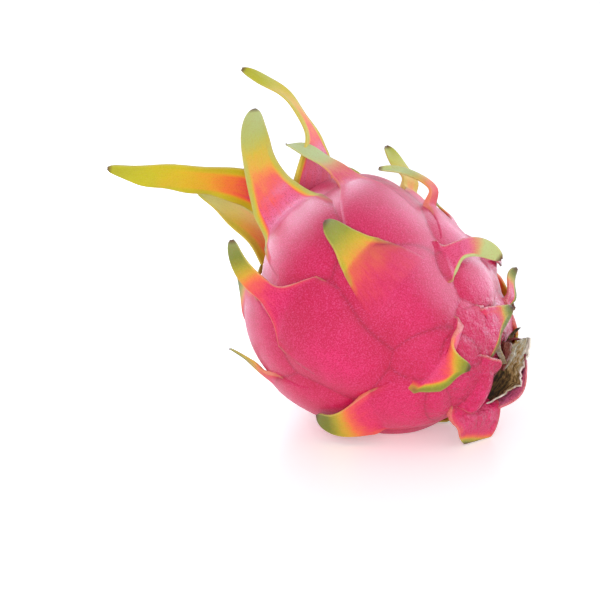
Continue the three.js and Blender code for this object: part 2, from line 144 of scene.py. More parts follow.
@dataclass(frozen=True)
class Pad:
    """A low fleshy cushion of the skin. Lengths are in mm.

    Attributes:
        middle: Unit vector to its middle.
        along: Unit vector along it.
        across: Unit vector across it.
        corners: How square its outline is, from 2 for an ellipse.
        fullness: How flat its top is and how steep its rim.
        far: Cosine of the angle from its middle beyond which it sinks out of the way.
        sinking: How deep it has sunk where that cosine is less by one.
    """

    middle: Vec
    along: Vec
    across: Vec
    half_length: float
    half_width: float
    height: float
    corners: float = 2.0
    fullness: float = 1.15
    far: float = 0.3
    sinking: float = 60.0

    @classmethod
    def at(cls, polar: float, azimuth: float, heading: float, half_length: float, half_width: float,
           height: float) -> "Pad":
        """Makes a pad from its angles on the body, in degrees, and its sizes in mm."""
        out, along, across = GROWTH.local_axes(polar, azimuth, heading)
        return cls(out, along, across, half_length, half_width, height)

    def rise(self, d: Vec, radius: float) -> Vec:
        """Height of the pad, below zero beyond its rim.

        Args:
            d: Unit vectors from the body's centre.
            radius: The body's radius.

        Returns:
            The height along each vector.
        """
        x = ((d - self.middle) @ self.along) * radius
        y = ((d - self.middle) @ self.across) * radius
        sunk = self.sinking * np.maximum(self.far - d @ self.middle, 0.0)
        away = np.abs(x / self.half_length) ** self.corners + np.abs(y / self.half_width) ** self.corners
        return self.height * (1.0 - away ** (2.0 * self.fullness / self.corners)) - sunk


# A scale's pad: how far its middle lies behind the root and how far it reaches each way from there,
# as parts of the length grown into the body.
PAD_SETBACK = 0.42
PAD_REACH = 0.85
# A blade's tip: the part of the blade where it starts to round off, how squarely it does, and the
# least half-width in mm.
TIP_START = 0.55
TIP_CURVE = 2.2
TIP_HALF_WIDTH = 0.35


@dataclass
class Scale:
    """One leafy scale with the pad that it stands on. Lengths are in mm, angles in degrees.

    Attributes:
        heading: 0 grows towards the blossom end, 180 towards the stem end.
        root: Half-width where it leaves the body.
        strap: Half-width of the blade.
        lift: Angle off the skin at the blade's root, middle and tip.
        swing: Angle to the side at the same three places.
        twist: Turn about its own middle line at the tip.
        flare: Part of the blade over which the root's widening dies out.
        adnate: Length grown into the body, behind the root.
        base: Half-width at the start of that length.
        pad: Height of the pad.
        corners: How square the pad's outline is, from 2 for an ellipse.
        aside: How far the pad lies to the side of the scale's own line.
        turn: Turn of the pad against the scale.
        bare: Part of the blade, from its root, that keeps the colour of the skin.
        green: Where along the colour run the tip ends, from 0.6 for yellow to 1 for green.
        rim: How far along the colour run the margins are beside the root.
        rim_width: How far in from the margin that reaches.
        rim_side: -1 or 1 where one margin alone has it, 0 for both.
        vivid: How far its back has the bright colours of its inside, which are partly painted light shining
            through the blade.
        pale: How far the green is paled, and from 1 to 2 the orange and yellow too.
        wave: Height of the waves in its margins.
        dry: Length at the tip that has dried.
    """

    polar: float
    azimuth: float
    heading: float
    length: float
    root: float
    strap: float
    lift: Triple
    swing: Triple
    twist: float = 0.0
    flare: float = 0.5
    adnate: float = 26.0
    base: float = 24.0
    pad: float = 4.2
    corners: float = 2.0
    aside: float = 0.0
    turn: float = 0.0
    bare: float = 0.0
    green: float = 1.0
    rim: float = 0.15
    rim_width: float = 4.0
    rim_side: float = 0.0
    vivid: float = 0.0
    pale: float = 0.0
    wave: float = 0.5
    dry: float = 1.0
    out: Vec = field(init=False)
    along: Vec = field(init=False)
    across: Vec = field(init=False)
    own_pad: Pad = field(init=False)

    def __post_init__(self) -> None:
        """Works out the scale's own directions on the body, and its pad."""
        self.out, self.along, self.across = GROWTH.local_axes(self.polar, self.azimuth, self.heading)
        behind, aside = PAD_SETBACK * self.adnate / BODY_RADIUS, self.aside / BODY_RADIUS
        middle = unit(self.out - self.along * behind + self.across * aside)
        turn = math.radians(self.turn)
        long_axis = math.cos(turn) * self.along + math.sin(turn) * self.across
        cross_axis = math.cos(turn) * self.across - math.sin(turn) * self.along
        self.own_pad = Pad(middle, long_axis, cross_axis, PAD_REACH * self.adnate, self.base, self.pad,
                           self.corners)

    def half_widths(self, rows: Vec) -> Vec:
        """Half-width from the start of the root to the tip.

        Args:
            rows: Places along the scale: -1 to 0 along the root, 0 to 1 along the free blade.

        Returns:
            The half-width at each place.
        """
        behind = np.clip(-rows, 0.0, 1.0)
        return np.where(rows < 0, self.root + (self.base - self.root) * behind,
                        self.half_width(np.clip(rows, 0.0, 1.0)))

    def half_width(self, f: Vec) -> Vec:
        """Half-width of the free blade.

        Args:
            f: Parts of its length, from 0 to 1.

        Returns:
            The half-width at each part.
        """
        flare = np.clip(1.0 - f / self.flare, 0.0, 1.0) ** 2
        tip = np.clip((f - TIP_START) / (1.0 - TIP_START), 0.0, 1.0)
        rounding = np.sqrt(np.clip(1.0 - tip ** TIP_CURVE, 0.0, 1.0))
        return np.maximum((self.strap + (self.root - self.strap) * flare) * rounding, TIP_HALF_WIDTH)


def short(*sizes: object, **more: object) -> Scale:
    """A scale with the small low pad that those near the stem end have."""
    return Scale(*sizes, **({"adnate": 13.0, "base": 15.0, "pad": 2.4, "flare": 1.0} | more))


class Whorl(Enum):
    """Rings of scales from the blossom end to the stem end."""

    CROWN = "crown_scales"
    SHOULDER = "shoulder_scales"
    MIDDLE = "middle_scales"
    REFLEXED = "reflexed_scales"
    COLLAR = "collar_scales"


SCALES: dict[Whorl, list[Scale]] = {
    Whorl.CROWN: [
        Scale(23, -76, 23, 92, 14.2, 6.5, (57, 22, 50), (18, -10, -26), -5, flare=0.63, adnate=24, base=22,
              bare=0.08, green=0.88, rim=0.75, rim_width=4.5),
        Scale(24, -138, 6, 55, 15.2, 7.3, (12, 48, 48), (10, -7, -18), 55, flare=0.63, base=22, bare=-0.15,
              green=0.8, rim=0.8, rim_width=5.0, vivid=1.0),
        Scale(39, 45, -24, 60, 15.6, 6.1, (22, 36, 24), (5, -20, -44), 38, flare=0.68, adnate=30, bare=0.1,
              pale=0.9, rim=0.6, rim_width=3.6, vivid=0.75),
        Scale(29, -11, -14, 64, 21.8, 3.2, (151, 95, 61), (-24, 44, 11), -66, adnate=24, base=22, bare=0.1,
              green=0.9, rim=0.65, rim_width=2.6, vivid=0.85),
        Scale(40, 118, -5, 22, 14, 5, (5, 12, 20), (0, 12, -10), 10),
        Scale(28, 172, 8, 18, 14, 5, (5, 14, 20), (0, 10, 10), -10),
    ],
    Whorl.SHOULDER: [
        Scale(57, 12, -33, 38, 5.9, 3.8, (4, 29, -2), (1, 26, 30), flare=0.39, adnate=34, pale=1.7,
              bare=0.05, rim=0.1),
        Scale(69, 86, -5, 36, 16.9, 3.7, (15, 30, 10), (5, -21, -58), 17, flare=0.36, adnate=28, base=25,
              corners=3.5, turn=12, bare=0.2, rim=0.1, pale=0.5),
        Scale(70, -21, -34, 28, 2.9, 3.7, (36, 19, 22), (-10, 11, 34), -34, pad=1.2, bare=-0.6, green=0.9,
              rim=0.5, vivid=0.9),
        Scale(62, -62, 6, 34, 12, 4, (12, 35, 30), (0, -12, 10), 12),
        Scale(64, -112, -4, 30, 12, 4, (8, 26, 38), (0, 10, -12)),
        Scale(60, -160, 6, 26, 12, 5, (4, 12, 24), (0, 8, 0)),
        Scale(68, 142, 4, 26, 13, 5, (4, 14, 22), (0, -8, 0)),
    ],
    Whorl.MIDDLE: [
        Scale(84, 49, -6, 19, 9.3, 4.4, (2, 18, 43), (2, -6, 10), 19, flare=0.76, adnate=28, base=22.5,
              corners=4.5, aside=2.5, turn=50, bare=-0.7, rim=0.5, vivid=0.3),
        Scale(90, -4, -3, 32, 4.4, 1.7, (81, -1, -23), (-3, 5, 8), -59, flare=0.42, adnate=20, base=20,
              bare=-0.1, pale=1.3),
        Scale(91, -50, -6, 15, 10, 4, (2, 3, -6), (0, 10, 0), pad=1.2, bare=0.3, rim=0.0),
        Scale(95, -88, 5, 20, 10, 4, (4, 20, 36), (0, -8, 0)),
        Scale(90, -136, -4, 20, 11, 5, (2, 10, 30), (0, 6, 0)),
        Scale(94, 178, 0, 14, 11, 6, (1, 4, 8), (0, 0, 0)),
        Scale(121, 124, 21, 28, 13, 4.4, (17, 8, -39), (4, 5, -19), 28, flare=0.85, adnate=24, base=20,
              pad=2.6, bare=0.05, rim=0.15, pale=0.3),
    ],
    Whorl.REFLEXED: [
        short(114, 23, 244, 26, 8.3, 3.2, (64, 10, 1), (24, -9, -54), 60, adnate=8.0, base=9.0, flare=0.3,
              pad=1.4, bare=0.35, rim=0.45, rim_width=1.2, rim_side=-1.0, vivid=0.3, pale=1.9),
        short(139, 73, 176, 12, 17.2, 2.6, (16, 36, 2), (-3, 32, 13), 21, base=17.0, bare=0.05, rim=0.85,
              rim_width=5.0, rim_side=-1.0, vivid=0.2),
        short(120, -36, 190, 4, 12, 4, (-10, -8, -6), (0, 8, 0), adnate=17.0, pad=4.4, green=0.0),
        short(120, -72, 175, 13, 13, 4, (6, 14, -10), (0, -10, 0)),
        short(121, -112, 184, 16, 13, 4, (6, 16, -14), (0, 8, 0)),
        short(122, -160, 176, 15, 13, 5, (2, 6, 2), (0, -5, 0)),
    ],
    Whorl.COLLAR: [
        short(152, 33, 245, 19, 11.2, 2.9, (17, -2, 14), (38, 8, 26), -4, base=13.0, bare=0.35, rim=0.9,
              rim_width=4.0, rim_side=-1.0),
        short(161, 88, 180, 9, 12, 11.3, (7, -5, 6), (3, 1, -10), 18, green=0.0),
        short(164, 149, 37, 17, 13.1, 9.3, (86, 34, 46), (19, -3, -21), 23, bare=0.6, rim=0.1),
        short(156, -125, 166, 28, 15, 11.3, (21, 8, -33), (2, -20, -8), 28, green=0.0),
        short(148, -78, 186, 10, 11, 5, (2, 8, 0), (0, 8, 0), rim=0.0),
        short(144, -46, 13, 17, 2.9, 2.9, (59, 11, 74), (-1, -18, -9), -23, bare=0.3, rim=0.8,
              rim_width=2.0, rim_side=-1.0, pale=0.3),
    ],
}
FOLDS = [
    Pad.at(131, 9, 0, 14, 12, 2.6),
    Pad.at(146, 62, 20, 12, 9, 3.2),
    Pad.at(146, 112, 100, 13, 7, 3.6),
    Pad.at(165, 108, 72, 14, 3.8, 4.4),
]
PADS = [scale.own_pad for whorl in SCALES.values() for scale in whorl] + FOLDS


@dataclass(frozen=True)
class Dent:
    """A soft hollow in the body: where it is and its spread, in degrees, and its depth in mm."""

    polar: float
    azimuth: float
    spread: float
    depth: float

    def sink(self, d: Vec) -> Vec:
        """How far the dent sinks the body.

        Args:
            d: Unit vectors from the body's centre.

        Returns:
            The depth along each vector.
        """
        middle = GROWTH.direction(self.polar, self.azimuth)
        angle = np.degrees(np.arccos(np.clip(d @ middle, -1.0, 1.0)))
        return self.depth * np.exp(-((angle / self.spread) ** 2))


STEM_HOLLOW = Dent(180, 0, 10, 3.0)
DENTS = [Dent(0, 0, 10, 5.0), STEM_HOLLOW, Dent(97, -26, 26, 6.5), Dent(149, -32, 18, 4.2)]


@dataclass(frozen=True)
class BodyShape:
    """Radial form of the body: a fat egg with a few dents, covered in pads. Sizes in mm.

    Attributes:
        tip_length: From the centre to the blossom end.
        stem_length: From the centre to the stem end.
        taper: Part by which it is wider near the blossom end and narrower near the stem end.
        fullness: 2 for an ellipse, more for a squarer egg.
        pad_blend: How softly pads run into each other.
        skin_level: Height of the skin where no pad is, against the bare body.
        deepest: Height below which a pad no longer counts.
        ripple: Height of the slow swelling.
        ripple_rates: Least and most radians that a ripple runs through for one round the body.
        crease_width: How much higher one of two pads is where the fold has faded to a third.
    """

    tip_length: float = 51.2
    stem_length: float = 49.0
    radius: float = BODY_RADIUS
    taper: float = 0.12
    fullness: float = 2.15
    pad_blend: float = 0.15
    skin_level: float = -1.5
    deepest: float = -8.0
    ripple: float = 0.25
    ripple_rates: tuple[float, float] = (5.0, 14.0)
    crease_width: float = 1.0

    def bare_radius(self, d: Vec) -> Vec:
        """Distance from the centre to the body without its pads.

        Args:
            d: Unit vectors from the body's centre.

        Returns:
            The distance along each vector.
        """
        cosine = np.clip(d @ GROWTH.axis, -1.0, 1.0)
        sine = np.sqrt(1.0 - cosine ** 2)
        length = np.where(cosine > 0, self.tip_length, self.stem_length)
        width = self.radius * (1.0 + self.taper * cosine)
        total = (np.abs(cosine) / length) ** self.fullness + (sine / width) ** self.fullness
        return total ** (-1.0 / self.fullness) - sum(dent.sink(d) for dent in DENTS)

    def skin(self, d: Vec, own: Scale | None = None, slack: Vec | float = 0.0) -> Vec:
        """Points of the skin along unit vectors.

        Args:
            d: Unit vectors from the body's centre.
            own: A scale whose own pad is followed where other pads rise above it.
            slack: How far, in mm, that pad may pass below the others.

        Returns:
            Points in mm from the body's centre.
        """
        total = np.full(d.shape[:-1], math.exp(self.skin_level / self.pad_blend))
        for pad in PADS:
            total += np.exp(np.maximum(pad.rise(d, self.radius), self.deepest) / self.pad_blend)
        height = self.pad_blend * np.log(total)
        if own is not None:
            height = np.maximum(own.own_pad.rise(d, self.radius), height - slack)
        height = height + self.ripple * self.ripples(d)
        return d * (self.bare_radius(d) + height)[..., None]

    def crease(self, d: Vec) -> Vec:
        """How near the skin is to the fold where two pads meet; the skin's material paints shade from this.

        Args:
            d: Unit vectors from the body's centre.

        Returns:
            1 on the fold itself, falling towards 0 away from it.
        """
        heights = np.stack([pad.rise(d, self.radius) for pad in PADS])
        highest = np.partition(heights, -2, axis=0)[-2:]
        lower, upper = np.maximum(highest, self.skin_level)
        return np.exp(-(upper - lower) / self.crease_width)

    def ripples(self, d: Vec, count: int = 10, part: float = 4.0, seed: int = 7) -> Vec:
        """Slow irregular swelling of the skin.

        Args:
            d: Unit vectors from the body's centre.
            count: How many waves are added up.
            part: What their sum is divided by.
            seed: Number that fixes the random draw.

        Returns:
            A number between about -1 and 1 for each vector.
        """
        rng = np.random.default_rng(seed)
        total = np.zeros(d.shape[:-1])
        for _ in range(count):
            wave = unit(rng.normal(size=3)) * rng.uniform(*self.ripple_rates)
            total += np.sin(d @ wave + rng.uniform(0.0, PHASES)) / part
        return total


BODY = BodyShape()
STEM_POINT = tuple(MM * (GROWTH.centre - BODY.stem_length * GROWTH.axis))
TONE_ALONG = ((-0.05, 0.2, 0.35, 0.47, 0.62, 0.78, 1.0), (0.0, 0.1, 0.2, 0.36, 0.54, 0.74, 1.0))


def put(name: str, data: bpy.types.ID, axes: Sequence[Vec] = np.eye(3), place: Vec = np.zeros(3)) -> Thing:
    """Adds an object to the scene.

    Args:
        name: Its name.
        data: Its mesh, light or camera.
        axes: Where its own three axes point.
        place: Its place in metres.

    Returns:
        The object.
    """
    matrix = np.eye(4)
    matrix[:3, :3] = np.column_stack(axes)
    matrix[:3, 3] = place
    thing = bpy.data.objects.new(name, data)
    thing.matrix_world = Matrix(matrix.tolist())
    bpy.context.scene.collection.objects.link(thing)
    return thing


def grid_faces(rows: int, columns: int, closed: bool = False) -> list[tuple[int, ...]]:
    """Quads of a grid of vertices numbered row by row, wrapped across the columns if closed."""
    return [(row + j, row + columns + j, row + columns + (j + 1) % columns, row + (j + 1) % columns)
            for row in range(0, (rows - 1) * columns, columns) for j in range(columns - (not closed))]


class Parts:
    """Parts gathered into one mesh, with values at each vertex."""

    def __init__(self) -> None:
        """Starts with no part."""
        self.points: list[Vec] = []
        self.faces: list[tuple[int, ...]] = []
        self.values: dict[str, list[Vec]] = {}

    def add(self, points: Vec, faces: Sequence[Sequence[int]], **values: Vec | float) -> None:
        """Adds a part.

        Args:
            points: Its vertices in mm from the fruit's centre.
            faces: Vertex numbers of each face, from 0.
            values: A value for each vertex, or one for all, by name.
        """
        start = sum(map(len, self.points))
        self.faces += [tuple(start + int(v) for v in face) for face in faces]
        self.points.append(points)
        for key, value in values.items():
            self.values.setdefault(key, []).append(np.broadcast_to(value, len(points)))

    def make(self, name: str) -> Thing:
        """Makes one smooth piece of all the parts, in place, with its own origin at the world's.

        Args:
            name: Name of the piece.

        Returns:
            The piece.
        """
        mesh = bpy.data.meshes.new(name)
        placed = (np.concatenate(self.points) + np.array(GROWTH.centre)) * MM
        mesh.from_pydata(placed.tolist(), [], self.faces)
        mesh.validate()
        mesh.shade_smooth()
        for key, values in self.values.items():
            layer = mesh.attributes.new(key, "FLOAT", "POINT")
            layer.data.foreach_set("value", np.concatenate(values).astype(np.float32))
        return put(name, mesh)


class SheetBuilder:
    """Wraps a closed skin with rounded edges round a grid of middle points."""

    def __init__(self, nose_points: int = 4, nose: float = 0.4) -> None:
        """Keeps the number of points round an edge and how far, in mm, the edge stands out."""
        self.angles = np.linspace(0.0, math.pi, nose_points + 2)[1:-1]
        self.nose = nose

    def wrap(self, grid: Vec, front: Vec, back: Vec) -> tuple[Vec, list, Vec, Vec]:
        """Builds the closed skin.

        Args:
            grid: Middle points, rows by columns by 3.
            front: Thickness in front of each point.
            back: Thickness behind each point.

        Returns:
            Vertices, faces, the column of the grid that each vertex belongs to from -1 to 1, and
            1 for the vertices of the back and 0 for the rest.
        """
        rows, columns = grid.shape[:2]
        normal = unit(np.cross(np.gradient(grid, axis=0), np.gradient(grid, axis=1)))
        front_face = grid + normal * front[..., None]
        back_face = grid - normal * back[..., None]
        loops, columns_at, backs = [], [], []
        position = np.linspace(-1.0, 1.0, columns)
        for side, face, other in ((1, front_face, back_face), (-1, back_face, front_face)):
            edge, inner = (-1, -2) if side == 1 else (0, 1)
            loops.append(face[:, ::side])
            columns_at.append(np.broadcast_to(position[::side], (rows, columns)))
            backs.append(np.full((rows, columns), 0.0 if side == 1 else 1.0))
            middle = (face[:, edge] + other[:, edge]) / 2
            half = (face[:, edge] - other[:, edge]) / 2
            thickness = np.linalg.norm(half, axis=1, keepdims=True)
            outward = unit(grid[:, edge] - grid[:, inner]) * np.minimum(thickness, self.nose)
            for angle in self.angles:
                loops.append((middle + math.cos(angle) * half + math.sin(angle) * outward)[:, None])
                columns_at.append(np.full((rows, 1), float(side)))
                share = angle / math.pi if side == 1 else 1.0 - angle / math.pi
                backs.append(np.full((rows, 1), share))
        points = np.concatenate(loops, axis=1)
        count = points.shape[1]
        first, final = rows * count, (rows - 1) * count
        faces = grid_faces(rows, count, closed=True)
        for j in range(count):
            k = (j + 1) % count
            faces += [(first, j, k), (first + 1, final + k, final + j)]
        vertices = np.concatenate([points.reshape(-1, 3), points[[0, -1]].mean(axis=1)])
        column_values = np.append(np.concatenate(columns_at, axis=1), [0.0, 0.0])
        return vertices, faces, column_values, np.append(np.concatenate(backs, axis=1), [0.5, 0.5])


@dataclass(frozen=True)
class BladeShape:
    """Sizes that all scales share, in mm, and how their blades are meshed.

    Attributes:
        ridge: Thickness along the root.
        sunk: How far the skin of a scale lies below the body's where its root starts.
        root_depth: How far the root reaches into the body.
        edge: Thickness at the margin, on each side.
        least_rows: Fewest steps along a blade, which has one for each row_step otherwise.
        blend: Part of the blade over which it leaves the skin.
        floor: How far above the floor its middle stays.
        slack: How far, for each mm from the root, its own pad may pass below another.
        clearance: How far its middle stays from the body, eased in over bend_soft.
        clear_from: Part of the blade from which all of that clearance is asked.
        free_from: Part of the blade from which it is fully given.
        heel: Part of the blade over which the depth of its root dies out.
        half_wave: Least and most half-length of a wave in its margins.
    """

    ridge: float = 1.2
    sunk: float = 0.03
    root_depth: float = 4.0
    edge: float = 0.35
    root_rows: int = 24
    row_step: float = 1.0
    least_rows: int = 14
    columns: int = 21
    blend: float = 0.25
    floor: float = 0.7
    slack: float = 0.2
    clearance: float = 1.6
    bend_soft: float = 0.3
    clear_from: float = 0.4
    free_from: float = 0.1
    heel: float = 0.3
    half_wave: tuple[float, float] = (9.0, 14.0)

    def middle_grid(self, scale: Scale) -> tuple[Vec, Vec]:
        """Middle surface of a scale, from the start of its root to its tip.

        Args:
            scale: The scale.

        Returns:
            The grid of points and, for each row, its place: -1 to 0 along the root, 0 to 1 along
            the free blade.
        """
        reach = float(np.linalg.norm(BODY.skin(scale.out)))
        position = np.linspace(-1.0, 1.0, self.columns)

        def skin_at(x: Vec, y: Vec) -> Vec:
            """Points of the skin x mm along and y mm across the scale from where its blade starts."""
            toward = scale.out + (x[..., None] * scale.along + y[..., None] * scale.across) / reach
            return BODY.skin(unit(toward), scale, self.slack * np.maximum(-x, 0.0))

        behind = np.linspace(1.0, 0.0, self.root_rows, endpoint=False)
        width = scale.half_widths(-behind)
        root = skin_at(-scale.adnate * behind[:, None], width[:, None] * position)
        rows = max(self.least_rows, round(scale.length / self.row_step))
        f = np.linspace(0.0, 1.0, rows + 1)
        point, width_dir, back_dir = self.middle_line(scale, f)
        half = scale.half_width(f)[:, None] * position
        drop = -0.5 * half ** 2 * (1.0 - f[:, None]) ** 2 / BODY.radius
        drop += self.margin_wave(scale, f[:, None], position)
        free = point[:, None] + half[..., None] * width_dir[:, None] + drop[..., None] * back_dir[:, None]
        on_skin = skin_at(scale.length * f[:, None], half)
        blend = smooth(f, 0.0, self.blend)[:, None, None]
        free = free * blend + on_skin * (1.0 - blend)
        outward = unit(free)
        gap = np.linalg.norm(free, axis=-1) - np.linalg.norm(BODY.skin(outward), axis=-1)
        wanted = self.clearance * smooth(f, 0.0, self.clear_from)[:, None]
        lift = self.bend_soft * np.logaddexp((wanted - gap) / self.bend_soft, 0.0)
        free = free + outward * (lift * smooth(f, 0.0, self.free_from)[:, None])[..., None]
        grid = np.concatenate([root, free])
        grid[..., 2] = np.maximum(grid[..., 2], self.floor - GROWTH.centre[2])
        return grid, np.concatenate([-behind, f])

    def margin_wave(self, scale: Scale, f: Vec, position: Vec) -> Vec:
        """Small waves that grow towards the margins of the free blade, seeded by the scale's place.

        Args:
            scale: The scale.
            f: Parts of the blade's length, in a column.
            position: Places across it, from -1 to 1.

        Returns:
            The height of the waves at each point of the blade.
        """
        rng = np.random.default_rng(int(scale.polar * 1000 + scale.azimuth))
        phases = rng.uniform(0.0, PHASES, 4)[:2]
        halves = scale.length / rng.uniform(*self.half_wave, 2)
        left, right = (np.sin(f * count * math.pi + phase) for count, phase in zip(halves, phases))
        sides = np.clip(-position, 0, 1) ** 2 * left + np.clip(position, 0, 1) ** 2 * right
        return smooth(f, 0.1, 0.35) * scale.wave * sides

    @staticmethod
    def middle_line(scale: Scale, f: Vec) -> tuple[Vec, Vec, Vec]:
        """Steps the blade's middle line out from the skin, turning by lift, swing and twist.

        Args:
            scale: The scale.
            f: Evenly spaced parts of the blade's length, from 0 to 1.

        Returns:
            Points, the blade's width direction and its facing direction at each f.
        """
        step, finer = 0.01, 4
        before, after = (BODY.skin(unit(scale.out + s * step * scale.along)) for s in (-1, 1))
        left, right = (BODY.skin(unit(scale.out + s * step * scale.across)) for s in (-1, 1))
        normal = unit(np.cross(after - before, right - left))
        ahead = unit(scale.along - (scale.along @ normal) * normal)
        side = np.cross(normal, ahead)
        fine = np.linspace(0.0, 1.0, (len(f) - 1) * finer + 1)

        def turned(angles: Triple, g: Vec) -> Vec:
            """Eases an angle from the blade's root through its middle to its tip.

            Args:
                angles: Degrees at those three places.
                g: Parts of the blade's length, from 0 to 1.

            Returns:
                Radians at each part, in a column.
            """
            start, middle, end = angles
            curve = start * (1 - g) * (1 - 2 * g) + 4 * middle * g * (1 - g) + end * g * (2 * g - 1)
            return np.radians(curve)[:, None]

        lift, swing = turned(scale.lift, fine), turned(scale.swing, fine)
        level = np.cos(swing) * ahead + np.sin(swing) * side
        tangent = np.cos(lift) * level + np.sin(lift) * normal
        steps = (tangent[1:] + tangent[:-1]) / 2 * scale.length / (len(fine) - 1)
        point = BODY.skin(scale.out) + np.concatenate([np.zeros((1, 3)), np.cumsum(steps, axis=0)])
        flat = -np.sin(swing) * ahead + np.cos(swing) * side
        bow = unit(np.cross(tangent, flat))
        twist = np.radians(scale.twist) * fine[:, None]
        width_dir = np.cos(twist) * flat + np.sin(twist) * bow
        back_dir = np.cos(twist) * bow - np.sin(twist) * flat
        return point[::finer], width_dir[::finer], back_dir[::finer]

    def thickness(self, rows: Vec, columns: int) -> tuple[Vec, Vec]:
        """Thickness of a scale on both sides of its middle surface.

        Args:
            rows: Place of each row: -1 to 0 along the root, 0 to 1 along the free blade.
            columns: How many points there are across it.

        Returns:
            The thickness in front and the thickness behind, for each row and column.
        """
        position = np.linspace(-1.0, 1.0, columns)[None, :]
        f = np.clip(rows, 0.0, 1.0)[:, None]
        root = np.clip(1.0 + rows, 0.0, 1.0)[:, None]
        grown = -self.sunk + (self.ridge + self.sunk) * root ** 3
        free = self.edge + (self.ridge - self.edge) * (1.0 - f) ** 2
        front = np.where(rows[:, None] <= 0.0, grown, free)
        bulge = (1.0 - f) * (1.0 - position ** 2)
        heel = (self.root_depth - 1.0) * np.clip(1.0 - f / self.heel, 0.0, 1.0) ** 2
        return front, self.edge + bulge + heel


BLADE = BladeShape()


class ScaleWhorl:
    """One ring of scales, made as one piece.

    Its pairs are places along a scale, -1 to 0 along the root and 0 to 1 along the blade, where
    something starts and where it is complete.

    Attributes:
        RIM_GROWS: The colour of the margins beside the root.
        RIM_CORE: Part of a scale's rim_width that has all of that colour.
        MARGIN_GROWS: The dry margin.
        INSIDE_GROWS: The colours of the inside.
        CREASE_FADES: The fading of the skin's folds and of the shade painted along them.
        DRY_FADES: The fading of the dried tip, counted from the tip in lengths of the scale's dry.
        STREAK_STEP: How far apart the veins of two scales are drawn.
    """

    RIM_GROWS = (-0.5, 0.05)
    RIM_CORE = 0.25
    MARGIN_GROWS = (-0.8, -0.1)
    INSIDE_GROWS = (-0.02, 0.05)
    CREASE_FADES = (-0.05, 0.02)
    DRY_FADES = (0.5, 1.6)
    STREAK_STEP = 10.0

    def __init__(self, whorl: Whorl, scales: list[Scale]) -> None:
        """Keeps what the ring is made of.

        Args:
            whorl: Which ring it is.
            scales: Its scales.
        """
        self.whorl = whorl
        self.scales = scales
        self.builder = SheetBuilder()

    def tone(self, scale: Scale, rows: Vec, column: Vec) -> Vec:
        """Place on the colour run from skin pink, 0, to green, 1.

        Args:
            scale: The scale.
            rows: Place along the scale, -1 to 0 along the root and 0 to 1 along the free blade.
            column: Place across the scale, from -1 to 1.

        Returns:
            The tone at each place.
        """
        f = (rows - scale.bare) / (1.0 - scale.bare)
        body = np.interp(f, *TONE_ALONG)
        inset = (1.0 - np.abs(column)) * scale.half_widths(rows)
        rim = scale.rim * (1.0 - smooth(inset, self.RIM_CORE * scale.rim_width, scale.rim_width))
        rim *= smooth(rows, *self.RIM_GROWS) * (1.0 + scale.rim_side * column) / (1.0 + abs(scale.rim_side))
        return np.clip(np.maximum(body, rim) * scale.green, 0.0, 1.0)

    def build(self) -> Thing:
        """Makes the ring's mesh.

        Returns:
            The piece, with the values that its skin reads: tone, margin, inside, dry, streak, pale
            and crease.
        """
        ring = Parts()
        for number, scale in enumerate(self.scales):
            grid, rows = BLADE.middle_grid(scale)
            front, back = BLADE.thickness(rows, grid.shape[1])
            verts, faces, column, inside = self.builder.wrap(grid, front, back)
            row_of = np.append(np.repeat(rows, (len(verts) - 2) // len(rows)), rows[[0, -1]])
            left = (1.0 - row_of) * scale.length
            dried = (scale.dry * part for part in self.DRY_FADES)
            ring.add(
                verts, faces, tone=self.tone(scale, row_of, column),
                margin=np.abs(column) * smooth(row_of, *self.MARGIN_GROWS),
                inside=np.maximum(inside, scale.vivid) * smooth(row_of, *self.INSIDE_GROWS),
                dry=1.0 - smooth(left, *dried), streak=column + self.STREAK_STEP * number, pale=scale.pale,
                crease=BODY.crease(unit(verts)) * (1.0 - smooth(row_of, *self.CREASE_FADES)))
        return ring.make(self.whorl.value)


class FruitBody:
    """The skin between the scales, a closed form meshed as six square patches."""

    def __init__(self, cells: int = 118) -> None:
        """Keeps how many cells each of the six patches has along a side."""
        self.cells = cells

    def directions(self) -> tuple[Vec, Vec]:
        """Spreads points over the whole body, as on a cube blown up to a sphere.

        Returns:
            A unit vector for each point, and the numbers of the four points of each face.
        """
        ticks = np.tan(np.linspace(-math.pi / 4, math.pi / 4, self.cells + 1))
        u, v = np.meshgrid(ticks, ticks, indexing="ij")
        basis = np.stack([GROWTH.axis, GROWTH.top, GROWTH.front])
        # These axes are left-handed, so the faces are turned round to look outwards.
        patch = np.array(grid_faces(*u.shape))[:, ::-1]
        points, faces = [], []
        for axis in range(3):
            for sign in (1.0, -1.0):
                local = np.zeros(u.shape + (3,))
                local[..., axis] = sign
                local[..., (axis + 1) % 3] = sign * u
                local[..., (axis + 2) % 3] = v
                faces.append(patch + len(points) * u.size)
                points.append(unit(local @ basis))
        points = np.stack(points).reshape(-1, 3)
        _, first, inverse = np.unique(np.round(points, 6), axis=0, return_index=True, return_inverse=True)
        return points[first], inverse.ravel()[np.concatenate(faces)]

    def build(self) -> Thing:
        """Makes the body's mesh, pressed flat where it rests.

        Returns:
            The piece, with the values that its skin reads.
        """
        directions, faces = self.directions()
        points = BODY.skin(directions)
        points[:, 2] = np.maximum(points[:, 2], -GROWTH.centre[2])
        body = Parts()
        body.add(points, faces, tone=0.0, margin=0.0, inside=0.0, dry=0.0, streak=0.0, pale=0.0,
                 crease=BODY.crease(directions))
        return body.make("skin_body")


@dataclass(frozen=True)
class Grain:
    """Noise in a finish: its scale, detail and roughness, and its strength and depth in metres as relief."""

    scale: float
    detail: float = 3.0
    roughness: float = 0.6
    strength: float = 0.0
    depth: float = 0.0


